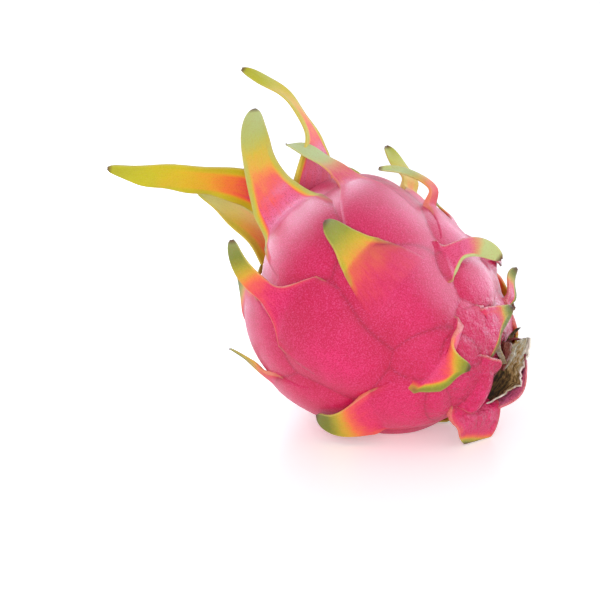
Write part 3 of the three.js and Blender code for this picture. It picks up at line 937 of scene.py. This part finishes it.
class Nodes:
    """Short hand for building a node tree."""

    def __init__(self, tree: bpy.types.NodeTree) -> None:
        """Clears the tree and keeps it."""
        self.tree = tree
        self.tree.nodes.clear()

    @classmethod
    def of(cls, owner: Material | bpy.types.World) -> "Nodes":
        """Starts the tree of a material or world."""
        owner.use_nodes = True
        return cls(owner.node_tree)

    def add(self, kind: str, inputs: dict | None = None, **settings: object) -> bpy.types.Node:
        """Adds a node.

        Args:
            kind: Type name of the node.
            inputs: Socket name or number to a value or to another node's output.
            settings: Properties of the node.

        Returns:
            The node.
        """
        node = self.tree.nodes.new(kind)
        for key, value in settings.items():
            setattr(node, key, value)
        for key, value in (inputs or {}).items():
            if isinstance(value, Socket):
                self.tree.links.new(value, node.inputs[key])
            else:
                node.inputs[key].default_value = value
        return node

    def math(self, operation: str, *values: object) -> Socket:
        """Adds a Math node and returns its output."""
        return self.add("ShaderNodeMath", dict(enumerate(values)), operation=operation).outputs[0]

    def span(self, value: object, start: object, end: object, top: object = 1.0) -> Socket:
        """Maps a number, kept within start and end, to 0 at the start and to top at the end."""
        return self.add("ShaderNodeMapRange", {0: value, 1: start, 2: end, 4: top}).outputs[0]

    def mix(self, factor: object, a: object, b: object) -> Socket:
        """Mixes two colours and returns the result."""
        return self.add("ShaderNodeMix", {0: factor, 6: a, 7: b}, data_type="RGBA").outputs[2]

    def noise(self, grain: Grain, vector: Socket | None = None) -> Socket:
        """Adds 3-D noise.

        Args:
            grain: The noise.
            vector: Where it is read, or None for the object's own coordinates.

        Returns:
            Its value.
        """
        place = vector or self.add("ShaderNodeTexCoord").outputs["Object"]
        inputs = {"Vector": place, "Scale": grain.scale, "Detail": grain.detail, "Roughness": grain.roughness}
        return self.add("ShaderNodeTexNoise", inputs).outputs["Fac"]

    def bump(self, height: Socket, grain: Grain, **more: Socket) -> Socket:
        """Turns a height into a bent normal."""
        inputs = {"Height": height, "Strength": grain.strength, "Distance": grain.depth} | more
        return self.add("ShaderNodeBump", inputs).outputs[0]

    def attribute(self, name: str) -> Socket:
        """Reads a vertex attribute as a number."""
        return self.add("ShaderNodeAttribute", attribute_name=name).outputs["Fac"]

    def ramp(self, factor: object, stops: Sequence[tuple[float, tuple]]) -> Socket:
        """Maps a number to a colour.

        Args:
            factor: The number.
            stops: The colours, each after its place from 0 to 1.

        Returns:
            The colour.
        """
        node = self.add("ShaderNodeValToRGB", {0: factor})
        elements = node.color_ramp.elements
        while len(elements) < len(stops):
            elements.new(0.5)
        for element, (place, colour) in zip(elements, stops):
            element.position = place
            element.color = colour
        return node.outputs[0]

    def surface(self, inputs: dict) -> None:
        """Adds the shader and the output that it feeds."""
        shader = self.add("ShaderNodeBsdfPrincipled", inputs)
        self.add("ShaderNodeOutputMaterial", {"Surface": shader.outputs[0]})


@dataclass(frozen=True)
class WaxySkin:
    """Pink waxy skin whose scales run through orange and yellow to pale green, with shade painted into its
    folds and the crumples near the stem, and insides brightened partly as painted light shining through.

    Attributes:
        back: Run from pink through coral, orange, yellow and lime to the green of the tip.
        inner: The same run on the inside of a blade, from red to green: its own colours brightened as painted
            light shining through the blade.
        inner_share: How far the inside of a blade takes its own pink.
        paling: Tone at which a blade starts to be paled, how much a scale's pale moves that, and how
            much further on it is complete.
        shade: How fast the painted shade beside a fold fades, and its strength.
        line: The same for the painted shade along the line of the fold itself.
        patch_wander: How far the patches push the tone up and down.
        vein_wander: How far the veins do.
        pink_until: Tone at which the pink of the pads has gone.
        crumpled: Metres from the stem where the skin starts to be crumpled and where it is fully.
        hollow_shade: Depth at which the shade painted into a crumple's hollow starts and at which it is
            darkest.
        hollow_shade_share: How dark that painted shade is there.
        margin: Places across a blade where its dry margin starts and is complete.
        margin_share: How strong that is.
        flecks: Noise at which a light fleck starts and is complete, and its strength.
        pits: The same for a dark pit.
        blade_calm: How much of the flecks and pits a blade is without.
    """

    # fold is painted shade: the darkest red, laid along the fold where two pads meet.
    fold: Colour = srgb(150, 4, 40)
    # deep is the skin's own deep red in its blotches and pits, and also the colour of the shade painted
    # beside folds and in the crumples near the stem.
    deep: Colour = srgb(186, 4, 58)
    pink: Colour = srgb(220, 22, 96)
    fleck: Colour = srgb(226, 86, 146)
    inner_pink: Colour = srgb(240, 128, 172)
    pale_green: Colour = srgb(184, 196, 124)
    rim: Colour = srgb(220, 196, 120)
    dry: Colour = srgb(96, 66, 38)
    back: tuple = colour_run(
        (0.0, 220, 22, 96), (0.14, 226, 74, 82), (0.28, 232, 118, 60), (0.4, 208, 160, 40),
        (0.54, 168, 158, 34), (0.72, 118, 130, 34), (1.0, 96, 110, 34))
    inner: tuple = colour_run(
        (0.0, 236, 44, 66), (0.12, 250, 82, 76), (0.24, 250, 136, 50), (0.34, 240, 172, 30),
        (0.5, 222, 190, 16), (0.7, 196, 192, 8), (1.0, 150, 160, 10))
    blotches: Grain = Grain(45.0)
    patches: Grain = Grain(120.0, 4.0, 0.5)
    veins: Grain = Grain(9.0)
    crumple: Grain = Grain(210.0, 4.0, 0.62, 0.8, 0.004)
    pores: Grain = Grain(2000.0, 2.0, 0.7, 0.35, 0.0003)
    inner_share: float = 0.9
    paling: Triple = (0.95, -0.5, 0.4)
    shade: tuple[float, float] = (0.35, 0.6)
    line: tuple[float, float] = (6.0, 0.85)
    patch_wander: float = 0.2
    vein_wander: float = 0.14
    pink_until: float = 0.14
    crumpled: tuple[float, float] = (0.045, 0.018)
    hollow_shade: tuple[float, float] = (0.42, 0.75)
    hollow_shade_share: float = 0.6
    margin: tuple[float, float] = (0.95, 1.0)
    margin_share: float = 0.25
    flecks: Triple = (0.5, 0.7, 0.5)
    pits: Triple = (0.5, 0.32, 0.9)
    blade_calm: float = 0.75
    roughness: float = 0.38
    blade_roughness: float = 0.35
    sheen: float = 0.06

    def skin(self, nodes: Nodes, inside: Socket) -> Socket:
        """Blotched pink of the pads, lighter on the inside of a blade."""
        skin = nodes.ramp(nodes.noise(self.blotches), [(0.2, self.deep), (0.62, self.pink)])
        return nodes.mix(nodes.math("MULTIPLY", inside, self.inner_share), skin, self.inner_pink)

    def blade(self, nodes: Nodes, inside: Socket, tone: Socket) -> Socket:
        """Colour of a blade: the run to green, brighter inside, partly as painted light shining through, and
        paled where its scale says.

        Args:
            nodes: The material's nodes.
            inside: 1 on the inside of a blade.
            tone: Place on the run of colours.

        Returns:
            The colour.
        """
        blade = nodes.mix(inside, nodes.ramp(tone, self.back), nodes.ramp(tone, self.inner))
        pale = nodes.attribute("pale")
        first, shift, width = self.paling
        start = nodes.math("MULTIPLY_ADD", pale, shift, first)
        paled = nodes.span(tone, start, nodes.math("ADD", start, width), nodes.math("MINIMUM", pale, 1.0))
        return nodes.mix(paled, blade, self.pale_green)

    def folds(self, nodes: Nodes, colour: Socket) -> Socket:
        """Paints shade into the skin's colour where pads meet, most along the fold itself.

        Args:
            nodes: The material's nodes.
            colour: The skin's colour.

        Returns:
            The colour with that painted shade.
        """
        crease = nodes.attribute("crease")
        shade, line = (nodes.math("MULTIPLY", nodes.math("POWER", crease, power), strength)
                       for power, strength in (self.shade, self.line))
        return nodes.mix(line, nodes.mix(shade, colour, self.deep), self.fold)

    def material(self) -> Material:
        """Builds the node material.

        Returns:
            The material.
        """
        material = bpy.data.materials.new("waxy_skin")
        nodes = Nodes.of(material)
        tone, inside = nodes.attribute("tone"), nodes.attribute("inside")
        vein = nodes.add("ShaderNodeCombineXYZ", {0: nodes.attribute("streak"), 1: tone}).outputs[0]
        even = -(self.patch_wander + self.vein_wander) / 2
        wander = nodes.math("MULTIPLY_ADD", nodes.noise(self.patches), self.patch_wander, even)
        wander = nodes.math("MULTIPLY_ADD", nodes.noise(self.veins, vein), self.vein_wander, wander)
        on_scale = nodes.math("GREATER_THAN", tone, 0.01)
        wander = nodes.math("MULTIPLY", wander, on_scale)
        tone = nodes.math("ADD", tone, wander)
        on_blade = nodes.span(tone, 0.0, self.pink_until)
        colour = nodes.mix(on_blade, self.skin(nodes, inside), self.blade(nodes, inside, tone))
        place = nodes.add("ShaderNodeTexCoord").outputs["Object"]
        away = nodes.add("ShaderNodeVectorMath", {0: place, 1: STEM_POINT}, operation="DISTANCE")
        near = nodes.span(away.outputs["Value"], *self.crumpled)
        crumple = nodes.math("MULTIPLY", nodes.noise(self.crumple), near)
        # Painted shade in the hollows of the crumpled skin near the stem.
        hollow_shade = nodes.span(nodes.math("SUBTRACT", near, crumple), *self.hollow_shade)
        colour = nodes.mix(nodes.math("MULTIPLY", hollow_shade, self.hollow_shade_share), colour, self.deep)
        # Painted shade in the folds where pads meet.
        colour = self.folds(nodes, colour)
        edge = nodes.span(nodes.attribute("margin"), *self.margin)
        colour = nodes.mix(nodes.math("MULTIPLY", edge, self.margin_share), colour, self.rim)
        colour = nodes.mix(nodes.attribute("dry"), colour, self.dry)
        pores = nodes.noise(self.pores)
        bare = nodes.math("MULTIPLY_ADD", on_blade, -self.blade_calm, 1.0)
        fleck = nodes.math("MULTIPLY", nodes.span(pores, *self.flecks), bare)
        pit = nodes.math("MULTIPLY", nodes.span(pores, *self.pits), bare)
        colour = nodes.mix(pit, nodes.mix(fleck, colour, self.fleck), self.deep)
        normal = nodes.bump(pores, self.pores, Normal=nodes.bump(crumple, self.crumple))
        rough = nodes.math("MULTIPLY_ADD", on_blade, self.blade_roughness, self.roughness)
        nodes.surface({
            "Base Color": colour, "Roughness": rough, "Specular IOR Level": 0.5, "Sheen Weight": self.sheen,
            "Specular Tint": (0.5, 0.9, 1.0, 1.0), "Sheen Roughness": 0.4,
            "Sheen Tint": (0.9, 0.72, 0.9, 1.0), "Normal": normal})
        return material


@dataclass(frozen=True)
class DryTissue:
    """Papery tissue of the dead stem: dark and olive in its trough, darkest where shade is painted down in
    the hollow, grey and white at its torn rim.

    Attributes:
        run: Run of colours from the trough to the rim, whose darkest end also serves as painted shade.
        fibre_share: How much more its long fibres push the wear up and down than its blotches do.
        even: What is taken off so that they push both ways alike.
        redness: How red a red strand is.
    """

    run: tuple = colour_run(
        (0.05, 34, 24, 8), (0.28, 98, 78, 38), (0.5, 166, 140, 92), (0.72, 176, 174, 156),
        (0.95, 232, 228, 216))
    red: Colour = srgb(128, 44, 52)
    fibres: Grain = Grain(7.0, 4.0, 0.7)
    blotches: Grain = Grain(420.0, 4.0, 0.65, 0.7, 0.0006)
    fibre_share: float = 1.5
    even: float = 1.3
    redness: float = 0.7
    roughness: float = 0.8

    def material(self) -> Material:
        """Builds the node material.

        Returns:
            The material.
        """
        material = bpy.data.materials.new("dry_tissue")
        nodes = Nodes.of(material)
        # The wear read here is partly painted shade, darkest at the foot of a wing down in the hollow.
        wear = nodes.attribute("wear")
        line = nodes.add("ShaderNodeCombineXYZ", {0: nodes.attribute("streak"), 1: wear}).outputs[0]
        fibres = nodes.noise(self.fibres, line)
        rough = nodes.math("MULTIPLY_ADD", fibres, self.fibre_share, nodes.noise(self.blotches))
        shade = nodes.ramp(nodes.math("ADD", wear, nodes.math("SUBTRACT", rough, self.even)), self.run)
        colour = nodes.mix(nodes.math("MULTIPLY", nodes.attribute("red"), self.redness), shade, self.red)
        normal = nodes.bump(rough, self.blotches)
        nodes.surface({"Base Color": colour, "Roughness": self.roughness, "Normal": normal})
        return material


@dataclass(frozen=True)
class Wing:
    """One wing of the dried stem, between a foot in the hollow and a free rim.

    A point is its distance in mm towards the top, to the front and out of the hollow's floor.

    Attributes:
        foot: Points along the foot.
        rim: As many points along the rim.
        half: Half of the thickness.
        trough: How far the wing sags between foot and rim.
        fold: Height of its long folds.
        wear: Paleness at the start of the foot, its end and the rim, from 0 dark to 1 white; the dark low at
            the foot is partly painted shade.
        red: 1 for a strand that is still red.
    """

    foot: tuple[Triple, ...]
    rim: tuple[Triple, ...]
    half: float = 0.35
    trough: float = 0.0
    fold: float = 0.0
    wear: Triple = (0.5, 0.5, 0.2)
    red: float = 0.0


def strip(middle: tuple[Triple, ...], width: float, **sizes: object) -> Wing:
    """A narrow wing of even width.

    Args:
        middle: Points along its middle line.
        width: Its width in mm.
        sizes: Its other sizes, by name.

    Returns:
        The wing.
    """
    half = width / 2
    return Wing(tuple((up - half, front, out - half) for up, front, out in middle),
                tuple((up + half, front, out + half) for up, front, out in middle), **sizes)


class DriedStem:
    """The dead remnant of the cut stem: a papery trough with a torn rim, and the strands beside it.

    Attributes:
        WINGS: Its wings.
        TEARS: Waves that make up the torn rim: each one's height as a part of the wing's own, how many
            radians it runs through along the rim, and where it starts.
        FOLD_RATES: Radians that the long and the finer folds run through from foot to rim.
        FOLDS_GROW: Parts of the way to the rim where the folds start and where they are complete.
        WANDER: How far, in radians, the folds wander along a wing, and how fast.
        EDGE: Part of the way to the rim where its torn edge starts to whiten, and how much it does.
        STREAK_STEP: How far apart the fibres of two wings are drawn.
    """

    WINGS = (
        Wing(((-16, 2, -2), (-12, 0.3, 0.6), (-7, -2.5, 1), (-1, -4, 0.8), (4, -4.5, 0.3), (9, -5, 1.2),
              (15.2, -5, 4.8)),
             ((-16.3, 2.6, 0.8), (-9.1, 0, 6.6), (-3.7, -3, 9.5), (0.6, -4, 12.2), (5, -5, 9.8),
              (11, -5, 10.2), (18.2, -6, 7.8)), trough=1.6, fold=0.35, wear=(0.02, 0.7, 0.3)),
        Wing(((0, -5, 0), (4, -5, 0), (8, -5, -1), (11.5, -5, -2)),
             ((1.3, -5, 3.6), (5, -5, 3.6), (8.5, -5, 3.2), (12.7, -5, 2.3)), trough=-0.8, fold=0.5,
             wear=(0.2, 0.4, 0.1), red=1.0),
        strip(((13.6, 2.9, -0.5), (10.9, 2.3, 0.7), (7.8, -0.4, 2.1), (3.3, -5, 3)), 1.2, wear=(0.7, 0.6, 0)),
        strip(((13.3, -5.5, 4), (10.4, -5.5, 3.7), (8, -5.5, 4.1), (4.7, -5.5, 4), (1.3, -5, 3.2)), 1.2,
              wear=(0.6, 0.8, 0)),
        strip(((7.5, -5, -0.5), (11.3, -7, 0.1), (14.4, -7.5, 0.2), (18, -8, 1.2)), 1.3, half=0.5,
              wear=(0.3, 0.2, 0)),
        strip(((7.5, -5, -0.5), (11.4, -6, 0.1), (13.7, -6.5, 1.5), (14.6, -7, 3.8)), 0.9, half=0.4,
              wear=(0.1, 0.1, 0), red=1.0),
    )
    TEARS = ((0.03, 29.0, 0.0), (0.03, 53.0, 1.0), (0.02, 97.0, 0.0))
    FOLD_RATES = (10.0, 23.0)
    FOLDS_GROW = (0.05, 0.3)
    WANDER = (1.5, 7.0)
    EDGE = (0.93, 0.4)
    STREAK_STEP = 3.0

    def __init__(self, rows: int = 60, columns: int = 22) -> None:
        """Keeps how finely each wing is meshed.

        Args:
            rows: Points along it.
            columns: Points from its foot to its rim.
        """
        self.rows = rows
        self.columns = columns
        self.builder = SheetBuilder(3, 0.3)

    def place(self, points: Sequence[Triple]) -> Vec:
        """Turns a wing's own points into points of the fruit.

        Args:
            points: Distances towards the top, to the front and out of the hollow's floor.

        Returns:
            The points in mm from the fruit's centre.
        """
        up, front, out = np.array(points, float).T[..., None]
        floor = GROWTH.axis * (STEM_HOLLOW.depth - BODY.stem_length)
        return floor + up * GROWTH.top + front * GROWTH.front - out * GROWTH.axis

    @staticmethod
    def curve(points: Vec, t: Vec) -> Vec:
        """Smooth curve through points.

        Args:
            points: Points that it passes at even steps.
            t: Parts of the way along it, from 0 to 1.

        Returns:
            A point for each part.
        """
        padded = np.concatenate([2 * points[:1] - points[1:2], points, 2 * points[-1:] - points[-2:-1]])
        x = np.clip(t, 0.0, 1.0) * (len(points) - 1)
        k = np.minimum(x.astype(int), len(points) - 2)
        s = (x - k)[:, None]
        a, b, c, d = (padded[k + n] for n in range(4))
        return 0.5 * (2 * b + (c - a) * s + (2 * a - 5 * b + 4 * c - d) * s ** 2
                      + (3 * b - a - 3 * c + d) * s ** 3)

    def grid(self, wing: Wing, t: Vec, s: Vec) -> Vec:
        """Middle surface of a wing, with its trough, its long folds and its torn rim.

        Args:
            wing: The wing.
            t: Parts of the way along it.
            s: Parts of the way from its foot to its rim.

        Returns:
            A point for each pair of t and s.
        """
        foot, rim = self.curve(self.place(wing.foot), t), self.curve(self.place(wing.rim), t)
        torn = sum(height * np.sin(t * rate + start) for height, rate, start in self.TEARS)
        share = s[None, :, None] * (1.0 + torn)[:, None, None]
        grid = foot[:, None] * (1 - share) + rim[:, None] * share
        normal = unit(np.cross(np.gradient(grid, axis=0), np.gradient(grid, axis=1)))
        reach, rate = self.WANDER
        wander = reach * np.sin(t[:, None] * rate)
        slow, fast = self.FOLD_RATES
        fold = np.sin(s[None] * slow + wander) + 0.5 * np.sin(s[None] * fast - wander)
        sag = wing.trough * np.sin(math.pi * s)[None] + wing.fold * fold * smooth(s, *self.FOLDS_GROW)[None]
        return grid + normal * sag[..., None]

    def build(self) -> Thing:
        """Makes the stem's mesh.

        Returns:
            The piece, with its streak, wear and red attributes.
        """
        stem = Parts()
        edge, white = self.EDGE
        t, s = np.linspace(0.0, 1.0, self.rows), np.linspace(0.0, 1.0, self.columns)
        for number, wing in enumerate(self.WINGS):
            grid = self.grid(wing, t, s)
            half = np.full((1, 1), wing.half)
            verts, faces, column, _ = self.builder.wrap(grid, half, half)
            at_rim = (column + 1.0) / 2.0
            along = np.append(np.repeat(t, (len(verts) - 2) // self.rows), [0.0, 1.0])
            first, last, rim = wing.wear
            torn_edge = white * smooth(at_rim, edge, 1.0) * (rim > 0)
            # Partly painted shade: darkest where a wing starts down in the hollow, paler along it and towards
            # its rim, white along the torn edge.
            wear = first + (last - first) * along ** 2 + rim * at_rim ** 1.5 + torn_edge
            stem.add(verts, faces, streak=column + self.STREAK_STEP * number, wear=wear, red=wing.red)
        return stem.make("dried_stem")


@dataclass(frozen=True)
class Tuft:
    """Fine dry fibres standing in a ring round one end of the fruit. Lengths in mm, angles in degrees.

    Attributes:
        name: Name of the piece.
        inner: Polar angle of the ring's first edge.
        outer: Polar angle of its other edge.
        count: How many fibres to a square centimetre.
        length: Length of a fibre.
        radius: Thickness at its root.
        bend: How far its tip leans over.
        seed: Number that fixes the random draw.
    """

    name: str
    inner: float
    outer: float
    count: float
    length: float
    radius: float
    bend: float
    seed: int

    def patch(self, rings: int = 5, steps: int = 24) -> Thing:
        """Makes the strip of skin that the fibres stand on.

        Args:
            rings: Points from its first to its other edge.
            steps: Points round it.

        Returns:
            The strip.
        """
        polar, azimuth = np.meshgrid(np.linspace(self.inner, self.outer, rings),
                                     np.linspace(0.0, 360.0, steps), indexing="ij")
        patch = Parts()
        patch.add(BODY.skin(GROWTH.direction(polar, azimuth)).reshape(-1, 3), grid_faces(rings, steps))
        return patch.make(self.name)


TUFTS = (
    Tuft("stem_fibres", 164.0, 176.0, 26.0, 5.0, 0.16, 2.5, 5),
    Tuft("navel_fibres", 2.0, 10.0, 22.0, 4.0, 0.2, 2.0, 9),
)


class TuftTree(Nodes):
    """Geometry Nodes tree that plants tapered, bent fibres on a patch.

    Attributes:
        SOCKETS: The tree's inputs and what each of them is.
        ROOT: Where a fibre starts, below the skin.
        HANDLE: Height of its curve's handle, as a part of its length.
        TIP: Part of its thickness that is left at its tip.
        LEAN: Most radians that it leans either way.
        SMALLEST: Size of the smallest fibre beside the largest.
    """

    SOCKETS = {"Patch": "Geometry", "Density": "Float", "Length": "Float", "Radius": "Float", "Bend": "Float",
               "Seed": "Int", "Material": "Material"}
    ROOT = (0.0, 0.0, -0.6 * MM)
    HANDLE = 0.6
    TIP = 0.05
    LEAN = 0.5
    SMALLEST = 0.45

    def __init__(self) -> None:
        """Builds the tree with its named inputs."""
        super().__init__(bpy.data.node_groups.new("tuft", "GeometryNodeTree"))
        face = self.tree.interface
        self.sockets = {name: face.new_socket(name, in_out="INPUT", socket_type=f"NodeSocket{kind}")
                        for name, kind in self.SOCKETS.items()}
        face.new_socket("Fibres", in_out="OUTPUT", socket_type="NodeSocketGeometry")
        self.wire()

    def fibre(self, given: bpy.types.NodeOutputs) -> Socket:
        """One fibre: a bent curve whose thickness falls to a point, with its root in the skin.

        Args:
            given: The tree's own inputs.

        Returns:
            The fibre's mesh.
        """
        handle = self.math("MULTIPLY", given["Length"], self.HANDLE)
        middle = self.add("ShaderNodeCombineXYZ", {"Z": handle})
        tip = self.add("ShaderNodeCombineXYZ", {"X": given["Bend"], "Z": given["Length"]})
        curve = self.add("GeometryNodeCurveQuadraticBezier", {
            "Resolution": 6, "Start": self.ROOT, "Middle": middle.outputs[0], "End": tip.outputs[0]})
        along = self.add("GeometryNodeSplineParameter").outputs["Factor"]
        left = self.math("SUBTRACT", 1.0 + self.TIP, along)
        sized = self.add("GeometryNodeSetCurveRadius", {"Curve": curve.outputs[0], "Radius": left})
        ring = self.add("GeometryNodeCurvePrimitiveCircle", {"Resolution": 5, "Radius": given["Radius"]})
        return self.add("GeometryNodeCurveToMesh", {
            "Curve": sized.outputs[0], "Profile Curve": ring.outputs[0], "Fill Caps": True}).outputs[0]

    def wire(self) -> None:
        """Joins the nodes from the patch to the realised fibres."""
        given = self.add("NodeGroupInput").outputs
        spread = self.add("GeometryNodeDistributePointsOnFaces", {
            "Mesh": given["Patch"], "Density": given["Density"], "Seed": given["Seed"]})
        turn = self.add("FunctionNodeRandomValue", {
            "Min": (-self.LEAN, -self.LEAN, 0.0), "Max": (self.LEAN, self.LEAN, math.tau),
            "Seed": given["Seed"]}, data_type="FLOAT_VECTOR")
        rotation = self.add("FunctionNodeRotateRotation", {
            "Rotation": spread.outputs["Rotation"], "Rotate By": turn.outputs[0]}, rotation_space="LOCAL")
        size = self.add("FunctionNodeRandomValue", {2: self.SMALLEST, 3: 1.0, "Seed": given["Seed"]})
        placed = self.add("GeometryNodeInstanceOnPoints", {
            "Points": spread.outputs["Points"], "Instance": self.fibre(given),
            "Rotation": rotation.outputs[0], "Scale": size.outputs[1]})
        real = self.add("GeometryNodeRealizeInstances", {0: placed.outputs[0]})
        done = self.add("GeometryNodeSetMaterial", {0: real.outputs[0], "Material": given["Material"]})
        self.add("NodeGroupOutput", {0: done.outputs[0]})

    def grow(self, tuft: Tuft, material: Material) -> Thing:
        """Grows a tuft and returns it as a plain mesh.

        Args:
            tuft: The tuft's sizes.
            material: Its material.

        Returns:
            The piece.
        """
        patch = tuft.patch()
        modifier = patch.modifiers.new("tuft", "NODES")
        modifier.node_group = self.tree
        values = {"Density": tuft.count * PER_SQUARE_METRE, "Length": tuft.length * MM,
                  "Radius": tuft.radius * MM, "Bend": tuft.bend * MM, "Seed": tuft.seed, "Material": material}
        for name, value in values.items():
            modifier[self.sockets[name].identifier] = value
        depsgraph = bpy.context.evaluated_depsgraph_get()
        grown = bpy.data.meshes.new_from_object(patch.evaluated_get(depsgraph))
        patch.modifiers.clear()
        grown.shade_smooth()
        patch.data = grown
        return patch


def away(azimuth: float, elevation: float) -> Vec:
    """Unit vector from the fruit, at degrees round from its front to the right and above the floor."""
    a, e = math.radians(azimuth), math.radians(elevation)
    return np.array([math.sin(a) * math.cos(e), -math.cos(a) * math.cos(e), math.sin(e)])


class Seen(Enum):
    """What a light does: fills the scene softly, or gleams on what is smooth."""

    FILL = "fill"
    GLEAM = "gleam"


@dataclass(frozen=True)
class SoftLight:
    """A rectangular soft light aimed at the fruit.

    Attributes:
        aside: Degrees round from the camera's side to its right.
        elevation: Degrees above the floor.
        size: Width and height in metres.
        brightness: How many times brighter than white paper it looks.
        seen: Whether it lights the surface or shows as a gleam on it.
        distance: Metres from the fruit.
    """

    name: str
    aside: float
    elevation: float
    size: tuple[float, float]
    brightness: float
    seen: Seen = Seen.GLEAM
    colour: Triple = COOL
    distance: float = 1.2

    def shine(self, azimuth: float) -> None:
        """Adds the light.

        Args:
            azimuth: The camera's place, in degrees round from the fruit's front to the right.
        """
        light = bpy.data.lights.new(self.name, "AREA")
        light.shape = "RECTANGLE"
        light.size, light.size_y = self.size
        light.energy = self.brightness * math.pi * self.size[0] * self.size[1]
        light.color = self.colour
        out = away(azimuth + self.aside, self.elevation)
        side = unit(np.cross(UPRIGHT, out))
        place = np.array(GROWTH.centre) * MM + out * self.distance
        lamp = put(self.name, light, (side, np.cross(out, side), out), place)
        lamp.visible_diffuse = self.seen is Seen.FILL
        lamp.visible_glossy = self.seen is Seen.GLEAM


LIGHTS = (
    SoftLight("back_right_panel", 125.0, 26.0, (1.5, 1.3), 4.6),
    SoftLight("back_left_panel", -140.0, 26.0, (1.5, 1.3), 6.0),
    SoftLight("top_panel", 110.0, 66.0, (1.5, 1.0), 2.0),
    SoftLight("right_panel", 75.0, 25.0, (1.0, 1.0), 2.5),
    SoftLight("front_light", -5.0, 16.0, (0.8, 0.8), 3.4, Seen.FILL, WHITE),
)


@dataclass(frozen=True)
class Studio:
    """Pale floor, white surroundings and the camera. Lengths in mm, angles in degrees.

    Attributes:
        azimuth: The camera's place, round from the front to the right.
        picture_width: Width of the picture at the fruit's centre.
        aside: How far right of that centre the camera aims.
        above: How far above it.
        surround: Light of the surroundings on the fruit.
        floor_glow: The floor's own light on the fruit.
        floor_lift: How much brighter than that the camera sees it.
        floor_half: Half of the floor's width in metres.
    """

    azimuth: float = 28.0
    elevation: float = 16.0
    distance: float = 900.0
    picture_width: float = 231.0
    aside: float = -34.7
    above: float = 4.2
    sensor: float = 36.0
    surround: float = 0.7
    floor_glow: float = 0.2
    floor_lift: float = 0.12
    floor_half: float = 4.0

    def camera(self) -> None:
        """Places the camera and makes it the scene's."""
        back = away(self.azimuth, self.elevation)
        right = away(self.azimuth + 90.0, 0.0)
        centre = np.array(GROWTH.centre)
        position = centre + back * self.distance
        aim = unit(centre + right * self.aside + np.cross(back, right) * self.above - position)
        side = unit(np.cross(aim, UPRIGHT))
        lens = bpy.data.cameras.new("camera")
        lens.sensor_width = self.sensor
        lens.lens = self.sensor * self.distance / self.picture_width
        lens.clip_start = 0.01
        lens.clip_end = 50.0
        bpy.context.scene.camera = put("camera", lens, (side, np.cross(side, aim), -aim), position * MM)

    def floor(self) -> None:
        """Makes the floor, which glows a little so that it is as white as what is round it."""
        half = self.floor_half
        mesh = bpy.data.meshes.new("floor")
        mesh.from_pydata([(-half, -half, 0), (half, -half, 0), (half, half, 0), (-half, half, 0)],
                         [], [(0, 1, 2, 3)])
        material = bpy.data.materials.new("pale_floor")
        nodes = Nodes.of(material)
        seen = nodes.add("ShaderNodeLightPath").outputs["Is Camera Ray"]
        glow = nodes.math("MULTIPLY_ADD", seen, self.floor_lift, self.floor_glow)
        nodes.surface({"Base Color": (0.96, 0.96, 0.96, 1.0), "Roughness": 0.35,
                       "Emission Color": (*WHITE, 1.0), "Emission Strength": glow})
        mesh.materials.append(material)
        put("floor", mesh)

    def world(self) -> None:
        """Surrounds the scene with light: white for the camera, dimmer on the fruit."""
        world = bpy.data.worlds.new("world")
        sky = Nodes.of(world)
        seen = sky.add("ShaderNodeLightPath").outputs["Is Camera Ray"]
        strength = sky.math("MULTIPLY_ADD", seen, 1.0 - self.surround, self.surround)
        light = sky.add("ShaderNodeBackground", {"Color": (*WHITE, 1.0), "Strength": strength})
        sky.add("ShaderNodeOutputWorld", {"Surface": light.outputs[0]})
        bpy.context.scene.world = world

    def build(self) -> None:
        """Makes the floor, the lights, the surrounding light and the camera."""
        self.floor()
        self.world()
        for light in LIGHTS:
            light.shine(self.azimuth)
        bpy.context.scene.view_settings.view_transform = "Standard"
        self.camera()


def dress(piece: Thing, material: Material, node: str) -> None:
    """Gives a piece its material, hangs it under the root body and hides the part of the node that it stands
    for.

    Args:
        piece: The piece.
        material: Its material.
        node: Name of the node.
    """
    piece.data.materials.append(material)
    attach(piece, "root")
    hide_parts(node)
    LOG.info("%s: %d faces", piece.name, len(piece.data.polygons))


def main() -> None:
    """Builds every piece and the studio round them."""
    logging.basicConfig(level=logging.INFO, format="%(message)s")
    skin = WaxySkin().material()
    dress(FruitBody().build(), skin, "fruit")
    for whorl, scales in SCALES.items():
        dress(ScaleWhorl(whorl, scales).build(), skin, "fruit")
    dead = DryTissue().material()
    dress(DriedStem().build(), dead, "dry_stem")
    tree = TuftTree()
    for tuft in TUFTS:
        dress(tree.grow(tuft, dead), dead, "dry_stem")
    Studio().build()


if __name__ == "__main__":
    main()
